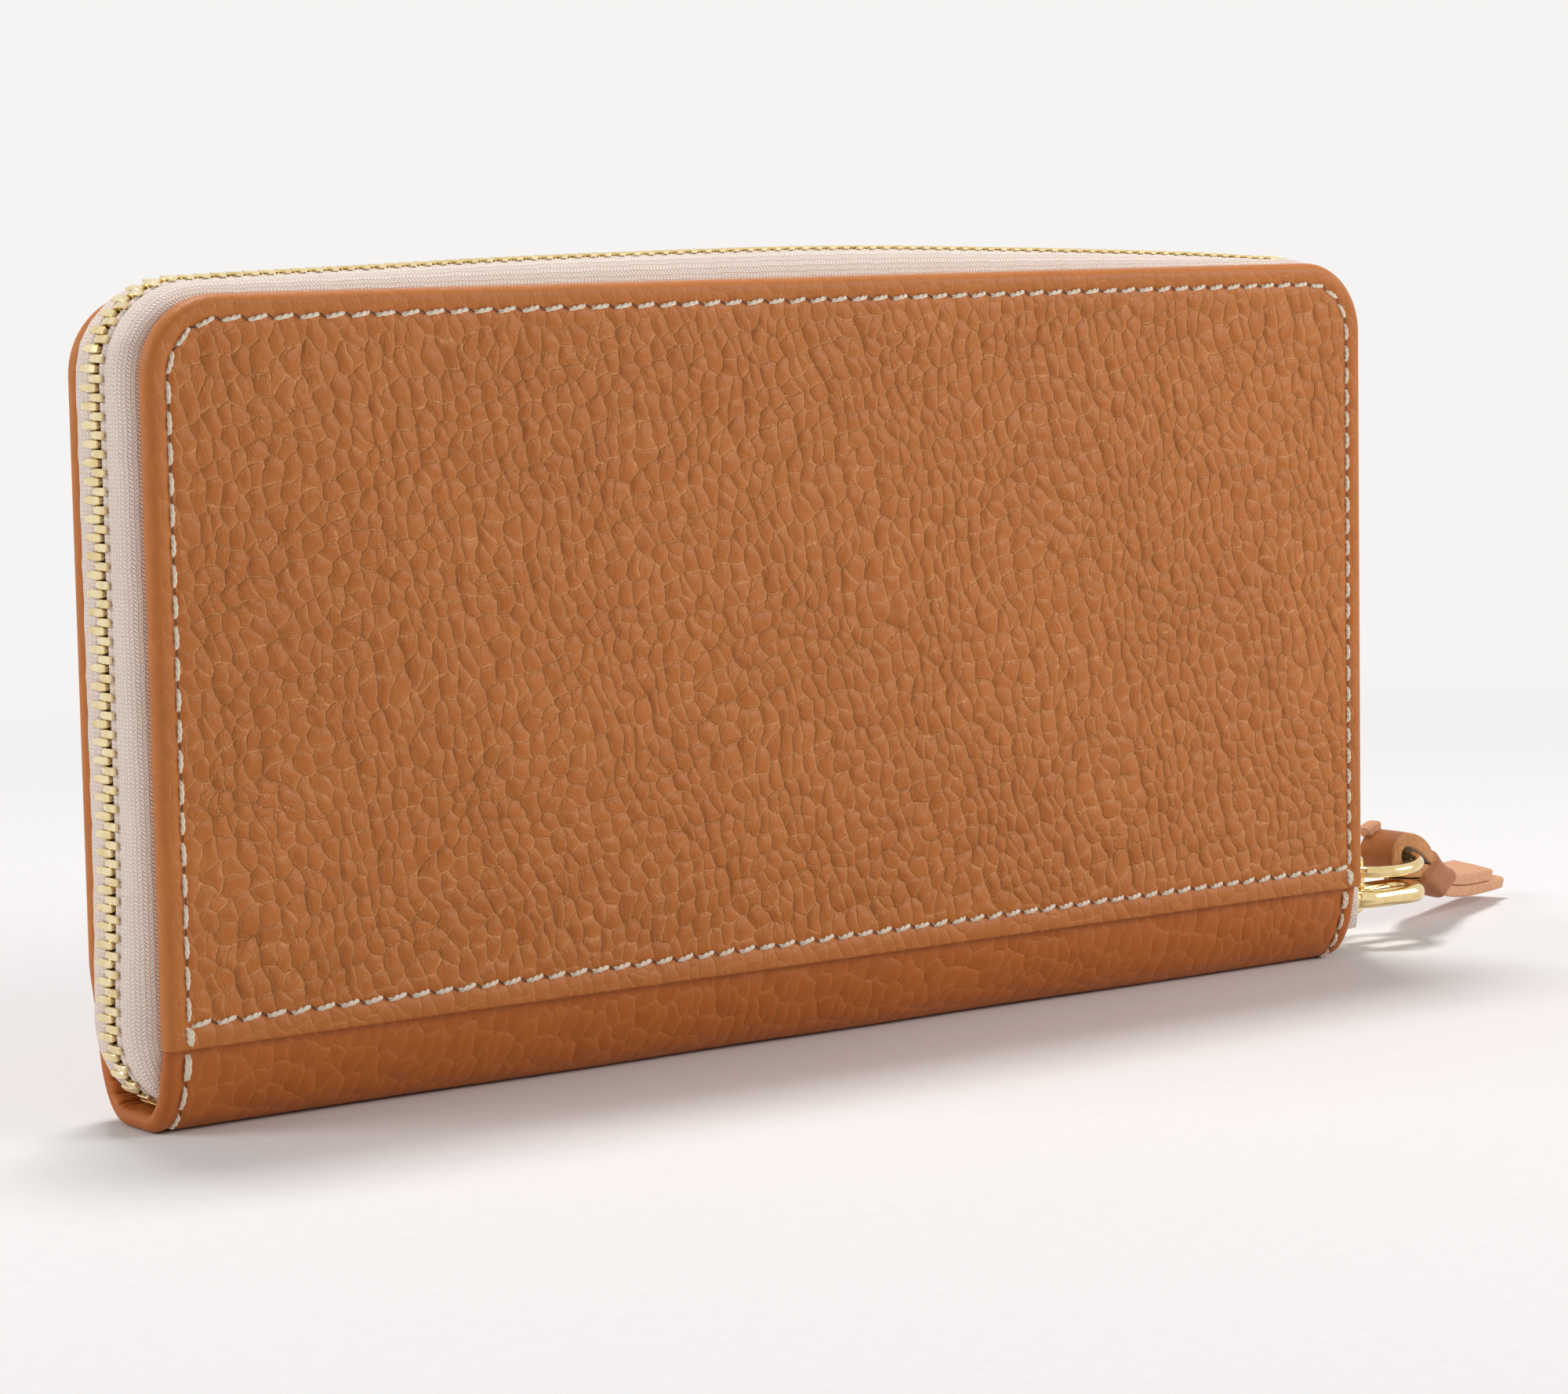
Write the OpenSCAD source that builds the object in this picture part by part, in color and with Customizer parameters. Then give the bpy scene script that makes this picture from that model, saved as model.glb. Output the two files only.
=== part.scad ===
// Zip around wallet standing on its spine: two hinged leather covers, a metal zip on three sides
// with a ring and strap pull, and a gusseted lining with card tiers and a zipped coin pocket.
// Frame: X along the width, -Y towards the photographed cover, +Z up, origin under the spine.

/* [Covers] */
// Width of each cover
cover_w = 197; // [185:1:215]
// Height of each cover's top edge
cover_h = 102; // [96:1:112]
// Depth over the two closed covers
wallet_d = 21; // [20.6:0.2:25]
// Radius of the covers' upper corners
corner_r = 10; // [7:0.5:14]
// Thickness of the outer leather
leather_t = 1.2; // [0.9:0.1:1.3]
// Thickness of the stiffening board
board_t = 1; // [0.8:0.1:1.1]
// Thickness of the turned-in edge behind the board
flap_t = 0.6; // [0.4:0.1:0.7]
// Width of the turned-in edge
flap_w = 7; // [5:0.5:10]
// Thickness of the lining
lining_t = 0.4; // [0.3:0.05:0.45]
// Inset of the lining from the cover's edge
lining_inset = 2.2; // [1.8:0.1:4]

/* [Spine] */
// Outer reach of the fold along each side of the spine
spine_r = 6.5; // [5.5:0.25:7.5]
// Height over which each fold curves up into the cover
spine_rise = 11; // [9:0.25:12]
// Height of the lapped seam's edge
lap_z = 11; // [9.5:0.5:14]
// Overlap of panel and wrap at the lapped seam
lap_w = 6.2; // [5:0.2:8]
// Thickness of the spine's lining strip
spine_lining_t = 0.4; // [0.3:0.1:0.6]

/* [Zip] */
// Distance between two teeth on one tape
tooth_pitch = 2.26; // [2.2:0.02:2.8]
// Thickness of a tooth along the tape
tooth_t = 1; // [0.8:0.05:1.05]
// Length of a tooth across the tape
tooth_l = 3.2; // [2.8:0.1:3.3]
// Height of a tooth through the tape
tooth_h = 2; // [1.8:0.1:2.2]
// How far a tooth's head reaches past the middle of the chain
tooth_reach = 0.7; // [0.5:0.05:0.8]
// Thickness of the tape
tape_t = 0.6; // [0.4:0.05:0.7]
// Thickness of the cord along the tape's edge
cord_t = 1; // [0.8:0.05:1.05]
// Height of the chain's middle beyond the cover's edge
chain_proud = 1; // [0.5:0.1:1.6]
// How much further the chain stands out at the slider's end
flare = 2.3; // [1:0.1:3]
// Height of the tape's end on the slider's side
right_end_z = 3.8; // [3.6:0.1:5]
// Height at which the tape curls under on the other side
left_end_z = 12.5; // [11.5:0.25:14]
// Radius of that curl
curl_r = 11; // [9.5:0.25:11.5]
// Length of chain above the curl that bends with the tapes as a cover opens
low_chain_l = 20; // [16:1:30]

/* [Slider] */
// Length of the slider
slider_l = 10; // [9:0.25:11]
// Widest half of the slider
slider_half_w = 3.9; // [3.7:0.1:4.4]
// Thickness of a slider plate
plate_t = 0.9; // [0.7:0.05:1.1]
// Height of the closed slider's middle above the table
slider_z = 9.4; // [9:0.1:11]
// Clear height under the bail
bail_gap = 3; // [2.8:0.1:3.6]
// Thickness of the bail's bar
bail_bar = 1.1; // [0.8:0.1:1.4]
// Width of the bail's bar
bail_w = 1.6; // [1.2:0.1:2]

/* [Pull] */
// Wire of the thick link
link_wire = 2.4; // [2:0.1:2.5]
// Outer width of the link
link_w = 8.4; // [7.6:0.2:9.4]
// Outer length of the link
link_l = 15.2; // [13:0.2:18]
// Wire of the thin ring
ring_wire = 1.5; // [1.2:0.1:1.7]
// Mean diameter of the ring
ring_d = 14.56; // [13.6:0.2:17]
// Width of the leather strap
strap_w = 7; // [5.5:0.25:7.5]
// Thickness of one layer of the strap
strap_t = 1.6; // [1.2:0.1:1.7]
// Radius of the hole through the strap's loop
strap_hole_r = 1.5; // [1.45:0.05:1.7]
// Reach of the strap's longer layer from the loop
strap_l = 40.5; // [30:0.5:46]
// How much shorter the upper layer is
strap_step = 5.8; // [2:0.2:8]
// Thickness of the strap's collar
collar_t = 1.1; // [0.8:0.1:1.3]

/* [Lining and pockets] */
// Inset of the card pocket panel from the cover's sides
pocket_inset = 9.5; // [9:0.25:14]
// Height of the card pocket panel's top edge
pocket_top = 90; // [84:1:93]
// Thickness of a pocket layer
pocket_t = 0.35; // [0.25:0.05:0.4]
// Card tiers on each cover
tier_count = 3; // [2:1:3]
// Height of the highest tier's edge
tier_top = 80; // [70:1:82]
// Step from one tier's edge to the next
tier_step = 12; // [8:1:16]
// Inset of the coin pocket from the cover's sides
coin_inset = 8.5; // [8:0.25:14]
// Height of the coin pocket's walls
coin_top = 80; // [72:1:84]
// Depth over the coin pocket
coin_d = 3; // [2.6:0.1:3.1]
// Thickness of a coin pocket wall
coin_wall_t = 0.6; // [0.4:0.05:0.8]
// Depth of a gusset's pleat
pleat = 13; // [9:0.5:16]
// Thickness of the gusset cloth
gusset_t = 0.35; // [0.25:0.05:0.4]
// Size of the coin pocket's zip against the outer zip
coin_scale = 0.8; // [0.7:0.05:0.85]
// Length of the coin slider's tab before that scaling
tab_l = 18; // [14:0.5:19]

/* [Hidden] */

$fn = 48;
// Steps in a quarter turn of a drawn outline
quarter_steps = 8;
// Small clearance between pieces that slide or fold past each other
clear = 0.05;
// Overlap that joins two drawn stretches of one piece
weld = 0.5;

// Colours
leather_colour = "#b5652b";
strap_colour = "#c07d55";
tape_colour = "#d9c3b4";
gold_colour = "#dcc27a";
lining_colour = "#c9a98e";
board_colour = "#8c8378";
pocket_colour = "#b97f55";

// Depths of the layers of one cover, measured from the middle of the wallet
face_q = wallet_d / 2;
skin_q = face_q - leather_t;
board_q = skin_q - board_t;
flap_q = board_q - flap_t;
lining_q = flap_q - lining_t;
pocket_q = lining_q - pocket_t;
coin_q = coin_d / 2;
edge_r = (face_q - flap_q) / 2;
half_w = cover_w / 2;
wrap_top = lap_z + lap_w;

// Folds of the spine: centre depth, hinge line at the middle of the outer curve, gap at the fold
fold_q = skin_q - spine_r;
fold_deg = 45;
fold_gap_deg = 0.3;
fold_in_r = spine_r - leather_t;
fold_in_rise = spine_rise - leather_t;

// Height of the folds' inner side at the depth q
function fold_in_z(q) = spine_rise - fold_in_rise * sqrt(1 - pow(min(1, (q - fold_q) / fold_in_r), 2));
lining_foot = fold_in_z(flap_q) + 0.75;

// Zip chain: depths of cord and tooth, and the path along which it runs
tooth_q = tooth_l - tooth_reach;
cord_q = tooth_reach + 0.4;
cord_end_q = tooth_q - clear;
tape_q = lining_q - tape_t / 2;
tape_bend_r = 2.8;
tape_flange = 7;
flare_deg = atan(flare / (cover_h - corner_r - right_end_z));
corner_x = half_w - corner_r;
corner_z = cover_h - corner_r;
chain_r = corner_r + chain_proud;
run_right_top = [corner_x + chain_r * cos(flare_deg), corner_z + chain_r * sin(flare_deg)];
run_right_l = (run_right_top[1] - right_end_z) / cos(flare_deg);
// Length at the slider's end along which the tape has no flange, because the fold leaves no room for it
tape_trim_l = max(weld, fold_in_z(lining_q + clear) + weld - right_end_z);
run_arc_right_l = chain_r * (90 - flare_deg) * PI / 180;
run_top_l = 2 * corner_x;
run_arc_left_l = chain_r * PI / 2;
curl_deg = 58;
curl_clear = 0.4;
spine_top = leather_t + spine_lining_t;
// Height of the curl's start, at least so high that the chain's end stays clear of the spine's lining
curl_z = max(left_end_z, spine_top + curl_clear
    + (curl_r + tooth_h / 2) * sin(curl_deg) + tooth_t / 2 * cos(curl_deg));
run_left_l = corner_z - curl_z;
s_arc_right = run_right_l;
s_top = s_arc_right + run_arc_right_l;
s_arc_left = s_top + run_top_l;
s_left = s_arc_left + run_arc_left_l;
s_end = s_left + run_left_l;
s_low = s_end - low_chain_l;
curl_x = -half_w - chain_proud + curl_r;
curl_l = curl_r * curl_deg * PI / 180;

// Slider: channel round the teeth, throat, post and bail
channel_h = tooth_h / 2 + 0.15;
channel_q = tooth_q + 0.25;
slot_h = cord_t / 2 + 3 * clear;
rear_half_w = 3.4;
post_half_w = 0.9;
post_l = 2.2;
flange_start = -0.4;
plate_top = channel_h + plate_t;
bail_inner = 3.5;
bail_outer = bail_inner + bail_bar;
slider_s = (slider_z - right_end_z) / cos(flare_deg);
first_tooth_s = slider_s - slider_l / 2 + 1 + post_l + tooth_t;

// Pull: where link and ring pass under the bail, and the strap's fall
slider_x = run_right_top[0] + (run_right_top[1] - slider_z) * tan(flare_deg);
bail_x = slider_x + plate_top + bail_gap / 2;
link_z = slider_z - bail_inner + 0.3 + link_wire / 2;
ring_z = slider_z + bail_inner - 0.25 - ring_wire / 2;
ring_aside = 2.6;
ring_r = ring_d / 2;
ring_x = bail_x + sqrt(ring_r * ring_r - ring_aside * ring_aside);
strap_yaw = 24;
strap_sag = ring_r - sqrt(ring_r * ring_r - strap_w * strap_w / 4);
strap_fall = 8.7;
strap_fall_l = 11.4;
collar_u = 16;
collar_l = 6;

// Lining: gussets, card tiers and coin pocket
pocket_w = cover_w - 2 * pocket_inset;
coin_w = cover_w - 2 * coin_inset;
pocket_bottom = 14;
pocket_r = 3;
tier_side = 1;
gusset_bottom = 12;
gusset_top = coin_top + 2;
coin_edge = 4;
coin_chain_z = coin_top + coin_scale * (plate_top + 0.6);
coin_chain_gap = 7;
coin_chain_l = coin_w - 2 * pleat - 2 * coin_chain_gap;
coin_slider_x = coin_chain_l / 2 - 4;
coin_tape_l = coin_chain_l + 8;
tab_w = 5;
tab_t = 1.1;

// Points along an arc in the plane
function arc(c, r, from, to) =
    let (n = max(1, round(quarter_steps * abs(to - from) / 90)))
    [for (i = [0:n]) c + r * [cos(from + (to - from) * i / n), sin(from + (to - from) * i / n)]];

// Points along part of an oval in the plane
function oval(c, rx, rz, from, to) =
    [for (p = arc([0, 0], 1, from, to)) c + [p[0] * rx, p[1] * rz]];

// Outline of a strip of thickness t along the points p
function side(p, i, j) = let (d = p[j] - p[i]) [-d[1], d[0]] / norm(d);
function offset_at(p, i) =
    let (last = len(p) - 1,
         a = i > 0 ? side(p, i - 1, i) : side(p, i, i + 1),
         b = i < last ? side(p, i, i + 1) : a,
         m = (a + b) / norm(a + b))
    m / (m * a);
function strip(p, t) = concat(
    [for (i = [0:len(p) - 1]) p[i] + offset_at(p, i) * t / 2],
    [for (i = [len(p) - 1:-1:0]) p[i] - offset_at(p, i) * t / 2]);

// Outline of a cover with the given inset, from z0 up
function cover_outline(inset, z0) = let (r = max(0.5, corner_r - inset)) concat(
    [[-half_w + inset, z0], [half_w - inset, z0]],
    arc([half_w - inset - r, cover_h - inset - r], r, 0, 90),
    arc([-half_w + inset + r, cover_h - inset - r], r, 90, 180));

// A flat piece drawn in X and Z, between two depths
module plate_xz(points, q0, q1) {
    translate([0, q1, 0]) rotate([90, 0, 0]) linear_extrude(q1 - q0) polygon(points);
}

// A flat piece drawn in Y and Z, between two values of X
module plate_yz(points, x0, x1) {
    translate([x0, 0, 0]) rotate([90, 0, 90]) linear_extrude(x1 - x0) polygon(points);
}

// A frame on the zip's path: X outward, Y across, Z along the path
module on_path(x, z, angle) {
    translate([x, 0, z]) rotate([0, -angle, 0]) children();
}

// A profile on a grid of a micrometre, so that its turned and straight stretches meet exactly
function on_grid(profile) = [for (p = profile) [round(p[0] * 1000) / 1000, round(p[1] * 1000) / 1000]];

// A quarter or part of a turn of a profile drawn in outward distance and depth
module turn(cx, cz, r, from, sweep, profile) {
    translate([cx, 0, cz]) rotate([90, 0, 0]) rotate([0, 0, from]) rotate_extrude(angle = sweep)
        polygon([for (p = on_grid(profile)) [r + p[0], -p[1]]]);
}

// A straight stretch of the same kind of profile
module stretch(length, profile) {
    linear_extrude(length) polygon(on_grid(profile));
}

// A profile carried round the three open sides of a cover
module round_cover(profile, z0) {
    on_path(half_w, z0, 0) stretch(corner_z - z0, profile);
    turn(corner_x, corner_z, corner_r, 0, 90, profile);
    on_path(corner_x, cover_h, 90) stretch(2 * corner_x, profile);
    turn(-corner_x, corner_z, corner_r, 90, 90, profile);
    on_path(-half_w, corner_z, 180) stretch(corner_z - z0, profile);
}

// The back half is drawn as it stands, and the front half is its mirror image
module half(front) {
    if (front) mirror([0, 1, 0]) children();
    else children();
}

// One cover

// Leather panel: a sheet whose edge turns over the board on three sides, and laps over the wrap below
module panel(front) {
    flap = min(flap_w, corner_r - 1);
    edge = concat([[-corner_r, skin_q], [-leather_t, skin_q], [-leather_t, board_q], [-flap, board_q], [-flap, flap_q]],
        arc([-edge_r, flap_q + edge_r], edge_r, -90, 90), [[-corner_r, face_q]]);
    color(leather_colour) half(front) {
        round_cover(edge, wrap_top);
        translate([-corner_x, skin_q, wrap_top]) cube([2 * corner_x, leather_t, corner_z - wrap_top]);
        translate([-half_w, skin_q, lap_z]) cube([cover_w, leather_t, lap_w]);
    }
}

module wrap(front) {
    profile = concat([[skin_q - leather_t, wrap_top - clear], [skin_q, wrap_top - clear]],
        oval([fold_q, spine_rise], spine_r, spine_rise, 0, -fold_deg + fold_gap_deg),
        oval([fold_q, spine_rise], fold_in_r, fold_in_rise, -fold_deg + fold_gap_deg, 0));
    color(leather_colour) half(front) plate_yz(profile, -half_w, half_w);
}

module board(front) {
    color(board_colour) half(front) plate_xz(cover_outline(leather_t, wrap_top), board_q, skin_q);
}

module lining(front) {
    color(lining_colour) half(front)
        plate_xz(cover_outline(lining_inset, lining_foot), lining_q, flap_q);
}

module pocket_sheet(front, width, top, layer) {
    x = width / 2;
    outline = concat([[-x, pocket_bottom], [x, pocket_bottom]],
        arc([x - pocket_r, top - pocket_r], pocket_r, 0, 90),
        arc([-x + pocket_r, top - pocket_r], pocket_r, 90, 180));
    q = lining_q - layer * pocket_t;
    color(pocket_colour) half(front) plate_xz(outline, q - pocket_t, q);
}

module card_tier(front, number) {
    pocket_sheet(front, pocket_w - 2 * tier_side, tier_top - (number - 1) * tier_step, number);
}

// The zip

// Cross-section of one tape: flange on the lining, bend over the gap, corded edge at the chain
function tape_profile(flange) =
    let (bend = [chain_proud - tape_bend_r, tape_q - tape_bend_r], c = cord_t / 2, t = tape_t / 2)
    concat(
        flange ? [[-tape_flange, tape_q + t]] : [],
        flange ? arc(bend, tape_bend_r + t, 90, 0) : [[chain_proud + t, tape_q - tape_bend_r]],
        [[chain_proud + t, cord_end_q], [chain_proud + c, cord_end_q], [chain_proud + c, cord_q],
         [chain_proud - c, cord_q], [chain_proud - c, cord_end_q], [chain_proud - t, cord_end_q]],
        flange ? arc(bend, tape_bend_r - t, 0, 90) : [[chain_proud - t, tape_q - tape_bend_r]],
        flange ? [[-tape_flange, tape_q - t]] : []);

module zip_tape(front) {
    profile = tape_profile(true);
    color(tape_colour) half(front) {
        on_path(corner_x, corner_z, flare_deg) translate([corner_r, 0, -run_right_l]) {
            stretch(tape_trim_l, tape_profile(false));
            translate([0, 0, tape_trim_l]) stretch(run_right_l - tape_trim_l - clear, profile);
        }
        mirror([1, 0, 0]) turn(-corner_x, corner_z, corner_r, 90, 90 - flare_deg, profile);
        on_path(corner_x, cover_h, 90) stretch(run_top_l, profile);
        turn(-corner_x, corner_z, corner_r, 90, 90, profile);
        on_path(-half_w, corner_z, 180) stretch(run_left_l, profile);
    }
}

// Place and direction of the chain's middle at the length s from the slider's end
function path_at(s) =
    s < s_arc_right ? let (b = s_arc_right - s)
        [run_right_top[0] + b * sin(flare_deg), run_right_top[1] - b * cos(flare_deg), flare_deg]
    : s < s_top ? let (a = flare_deg + (s - s_arc_right) / chain_r * 180 / PI)
        [corner_x + chain_r * cos(a), corner_z + chain_r * sin(a), a]
    : s < s_arc_left ? [corner_x - (s - s_top), cover_h + chain_proud, 90]
    : s < s_left ? let (a = 90 + (s - s_arc_left) / chain_r * 180 / PI)
        [-corner_x + chain_r * cos(a), corner_z + chain_r * sin(a), a]
    : s < s_end ? [-half_w - chain_proud, corner_z - (s - s_left), 180]
    : let (a = 180 + (s - s_end) / curl_r * 180 / PI)
        [curl_x + curl_r * cos(a), curl_z + curl_r * sin(a), a];

// One tooth on the +Y side: two legs round the cord, and a head that narrows past the middle
module tooth() {
    h = tooth_h / 2;
    slot = cord_t / 2 + clear;
    side_view = [[slot, tooth_q], [h, tooth_q], [h, 0.3], [0.75 * h, -tooth_reach],
        [-0.75 * h, -tooth_reach], [-h, 0.3], [-h, tooth_q], [-slot, tooth_q],
        [-slot, cord_q - clear], [slot, cord_q - clear]];
    translate([0, 0, -tooth_t / 2]) linear_extrude(tooth_t) polygon(side_view);
}

// Teeth between two lengths along the path; the front row sits half a pitch on
module teeth(front, from, to) {
    shift = front ? tooth_pitch / 2 : 0;
    first = ceil((from - first_tooth_s - shift) / tooth_pitch);
    last = floor((to - first_tooth_s - shift) / tooth_pitch);
    color(gold_colour) for (i = [first:last]) {
        at = path_at(first_tooth_s + shift + i * tooth_pitch);
        on_path(at[0], at[1], at[2]) half(front) tooth();
    }
}

// A stop crimped on the cord of one tape
module cord_stop(length) {
    c = cord_t / 2;
    wall = 0.4;
    difference() {
        translate([-c - wall, cord_q - wall, -length / 2]) cube([2 * (c + wall), tooth_q - cord_q + wall, length]);
        translate([-c - clear, cord_q - clear, -length]) cube([2 * (c + clear), tooth_q, 2 * length]);
    }
}

module top_stop(front) {
    at = path_at(1.6);
    color(gold_colour) on_path(at[0], at[1], at[2]) half(front) cord_stop(1.4);
}

module zip_end_tape() {
    profile = [for (p = tape_profile(false)) [p[0] - chain_proud, p[1]]];
    gap_deg = 0.3 / curl_r * 180 / PI;
    color(tape_colour) for (front = [true, false]) half(front)
        turn(curl_x, curl_z, curl_r, 180 + gap_deg, curl_deg - gap_deg, profile);
}

// Teeth in the curl, spread so that their inner sides stay apart
module zip_end_teeth() {
    spread = (tooth_t + 0.15) * curl_r / (curl_r - tooth_h / 2);
    count = floor((curl_l - 1.4 - tooth_t) / spread);
    color(gold_colour) for (i = [0:count - 1]) {
        at = path_at(s_end + 0.8 + i * spread);
        on_path(at[0], at[1], at[2]) half(i % 2 == 0) tooth();
    }
}

// The stop that holds both tapes together below the last tooth
module zip_bottom_stop() {
    at = path_at(s_end + curl_l - 0.7);
    h = tooth_h / 2;
    slot = cord_t / 2 + clear;
    outline = concat([[h, tooth_q], [h, -tooth_q], [slot, -tooth_q], [slot, -cord_q + clear]],
        [[-slot, -cord_q + clear], [-slot, -tooth_q], [-h, -tooth_q], [-h, tooth_q]],
        [[-slot, tooth_q], [-slot, cord_q - clear], [slot, cord_q - clear], [slot, tooth_q]]);
    color(gold_colour) on_path(at[0], at[1], at[2])
        translate([0, 0, -tooth_t / 2]) linear_extrude(tooth_t) polygon(outline);
}

// The slider, drawn on the chain: X outward, Z along the chain, its open nose towards -Z

function slider_outline(inset) =
    let (nose_z = -slider_l / 2 + slider_half_w - 1, w = slider_half_w - inset)
    concat(
        [for (p = arc([0, 0], 1, 180, 360)) [p[0] * w, nose_z + p[1] * (slider_half_w - 1 - inset)]],
        [[rear_half_w - inset, slider_l / 2 - 1], [rear_half_w - 1, slider_l / 2 - inset],
         [1 - rear_half_w, slider_l / 2 - inset], [inset - rear_half_w, slider_l / 2 - 1]]);

module slider_body() {
    post = [[0, -slider_l / 2 + 1], [post_half_w, -slider_l / 2 + 1 + post_l / 2],
        [0, -slider_l / 2 + 1 + post_l], [-post_half_w, -slider_l / 2 + 1 + post_l / 2]];
    bevel = 0.35;
    color(gold_colour) {
        for (s = [-1, 1]) {
            low = s > 0 ? channel_h : -plate_top;
            plate_yz(slider_outline(0), low, low + plate_t);
        }
        plate_yz(slider_outline(bevel), plate_top - clear, plate_top + bevel / 2);
        plate_yz(post, -channel_h - clear, channel_h + clear);
        for (s = [-1, 1], side = [-1, 1]) intersection() {
            plate_yz(slider_outline(0), -plate_top, plate_top);
            translate([s > 0 ? slot_h : -channel_h - clear, side > 0 ? channel_q : -channel_q - 2, flange_start])
                cube([channel_h - slot_h + clear, 2, slider_l / 2 - flange_start - 1]);
        }
    }
}

module slider_bail() {
    top = plate_top + 0.35 / 2;
    h = plate_top + bail_gap;
    outer = concat([[top, -bail_outer]], arc([h + bail_bar - 1.6, -bail_outer + 1.6], 1.6, -90, 0),
        arc([h + bail_bar - 1.6, bail_outer - 1.6], 1.6, 0, 90), [[top, bail_outer]]);
    inner = concat([[top - 1, -bail_inner]], arc([h - 0.6, -bail_inner + 0.6], 0.6, -90, 0),
        arc([h - 0.6, bail_inner - 0.6], 0.6, 0, 90), [[top - 1, bail_inner]]);
    color(gold_colour) difference() {
        plate_xz(outer, -bail_w / 2, bail_w / 2);
        plate_xz(inner, -bail_w, bail_w);
    }
}

module on_slider() {
    on_path(slider_x, slider_z, flare_deg) children();
}

// The pull

module pull_link() {
    bend_r = (link_w - link_wire) / 2;
    straight = link_l - link_w;
    color(gold_colour) translate([bail_x, 0, link_z]) {
        translate([bend_r, 0, 0]) rotate([0, 0, 90]) rotate_extrude(angle = 180)
            translate([bend_r, 0]) circle(link_wire / 2);
        translate([bend_r + straight, 0, 0]) rotate([0, 0, -90]) rotate_extrude(angle = 180)
            translate([bend_r, 0]) circle(link_wire / 2);
        for (s = [-1, 1]) translate([bend_r, s * bend_r, 0]) rotate([0, 90, 0])
            cylinder(h = straight, d = link_wire);
    }
}

module pull_ring() {
    color(gold_colour) translate([ring_x, ring_aside, ring_z]) rotate_extrude()
        translate([ring_r, 0]) circle(ring_wire / 2);
}

// The strap's frame: origin in the loop's hole, X along the strap, Y along the hole
module on_loop() {
    translate([ring_x, ring_aside, ring_z]) rotate([0, 0, strap_yaw])
        translate([ring_r - strap_sag / 2, 0, 0]) children();
}

// Fall of the strap's middle line at the distance u from the hole, its slope, and the way to each layer
function fall(u) = -strap_fall * (1 - exp(-u / strap_fall_l));
function fall_deg(u) = atan(-strap_fall / strap_fall_l * exp(-u / strap_fall_l));
function apart(u) = strap_t / 2 + clear + (strap_hole_r - clear) * exp(-pow(u / 5, 2));
function layer(u, up) = [u, fall(u)] + up * apart(u) * [-sin(fall_deg(u)), cos(fall_deg(u))];

// One strip of leather, folded round the ring, its upper layer a little shorter
module pull_strap() {
    steps = 28;
    upper_l = strap_l - strap_step;
    line = concat([for (i = [steps:-1:1]) layer(strap_l * i / steps, -1)],
        arc([0, 0], strap_hole_r + strap_t / 2, fall_deg(0) - 90, fall_deg(0) - 270),
        [for (i = [1:steps]) layer(upper_l * i / steps, 1)]);
    color(strap_colour) on_loop() translate([0, strap_w / 2, 0]) rotate([90, 0, 0])
        linear_extrude(strap_w) polygon(strip(line, strap_t));
}

module pull_collar() {
    inside_h = 2 * apart(collar_u - collar_l / 2) + strap_t + 6 * clear;
    inside_w = strap_w + 2 * clear;
    color(strap_colour) on_loop() translate([collar_u, 0, fall(collar_u)]) rotate([0, -fall_deg(collar_u), 0])
        difference() {
            cube([collar_l, inside_w + 2 * collar_t, inside_h + 2 * collar_t], center = true);
            cube([2 * collar_l, inside_w, inside_h], center = true);
        }
}

// The spine

module spine_base() {
    low = -90 + fold_deg - fold_gap_deg;
    profile = concat(
        oval([fold_q, spine_rise], spine_r, spine_rise, low, -90),
        oval([-fold_q, spine_rise], spine_r, spine_rise, -90, -180 - low),
        oval([-fold_q, spine_rise], fold_in_r, fold_in_rise, -180 - low, -90),
        oval([fold_q, spine_rise], fold_in_r, fold_in_rise, -90, low));
    color(leather_colour) plate_yz(profile, -half_w, half_w);
}

module spine_lining() {
    color(lining_colour) translate([-half_w + lining_inset, -fold_q, leather_t])
        cube([cover_w - 2 * lining_inset, 2 * fold_q, spine_lining_t]);
}

// The lining's gussets and the coin pocket

module gusset(front, left) {
    tape_in = tape_q - tape_t / 2 - gusset_t / 2 - clear;
    tiers_in = lining_q - (tier_count + 1) * pocket_t - gusset_t / 2 - 4 * clear;
    coin_out = coin_q + gusset_t / 2 + clear;
    edge_x = coin_w / 2;
    over_x = max(edge_x - 1, pocket_w / 2);
    mid = (tiers_in + coin_out) / 2;
    line = [[over_x + 5, tape_in], [over_x + 2, tape_in], [over_x, tiers_in],
        [edge_x - pleat, mid + gusset_t], [edge_x - pleat - 0.5, mid], [edge_x - pleat, mid - gusset_t],
        [edge_x - 2.5, coin_out], [edge_x, coin_out]];
    color(lining_colour) half(front) mirror([left ? 1 : 0, 0, 0])
        translate([0, 0, gusset_bottom]) linear_extrude(gusset_top - gusset_bottom)
            polygon(strip(line, gusset_t));
}

module coin_wall(front) {
    x = coin_w / 2;
    color(pocket_colour) half(front) plate_xz([[-x, spine_top], [x, spine_top], [x, coin_top], [-x, coin_top]],
        coin_q - coin_wall_t, coin_q);
}

module coin_binding() {
    inside = coin_q - coin_wall_t;
    color(lining_colour) difference() {
        translate([-coin_w / 2, -inside, spine_top]) cube([coin_w, 2 * inside, coin_top - spine_top]);
        translate([-coin_w / 2 + coin_edge, -2 * inside, spine_top + coin_edge])
            cube([coin_w - 2 * coin_edge, 4 * inside, coin_top]);
    }
}

module on_coin_chain(x) {
    on_path(x, coin_chain_z, 90) scale(coin_scale) children();
}

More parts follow.
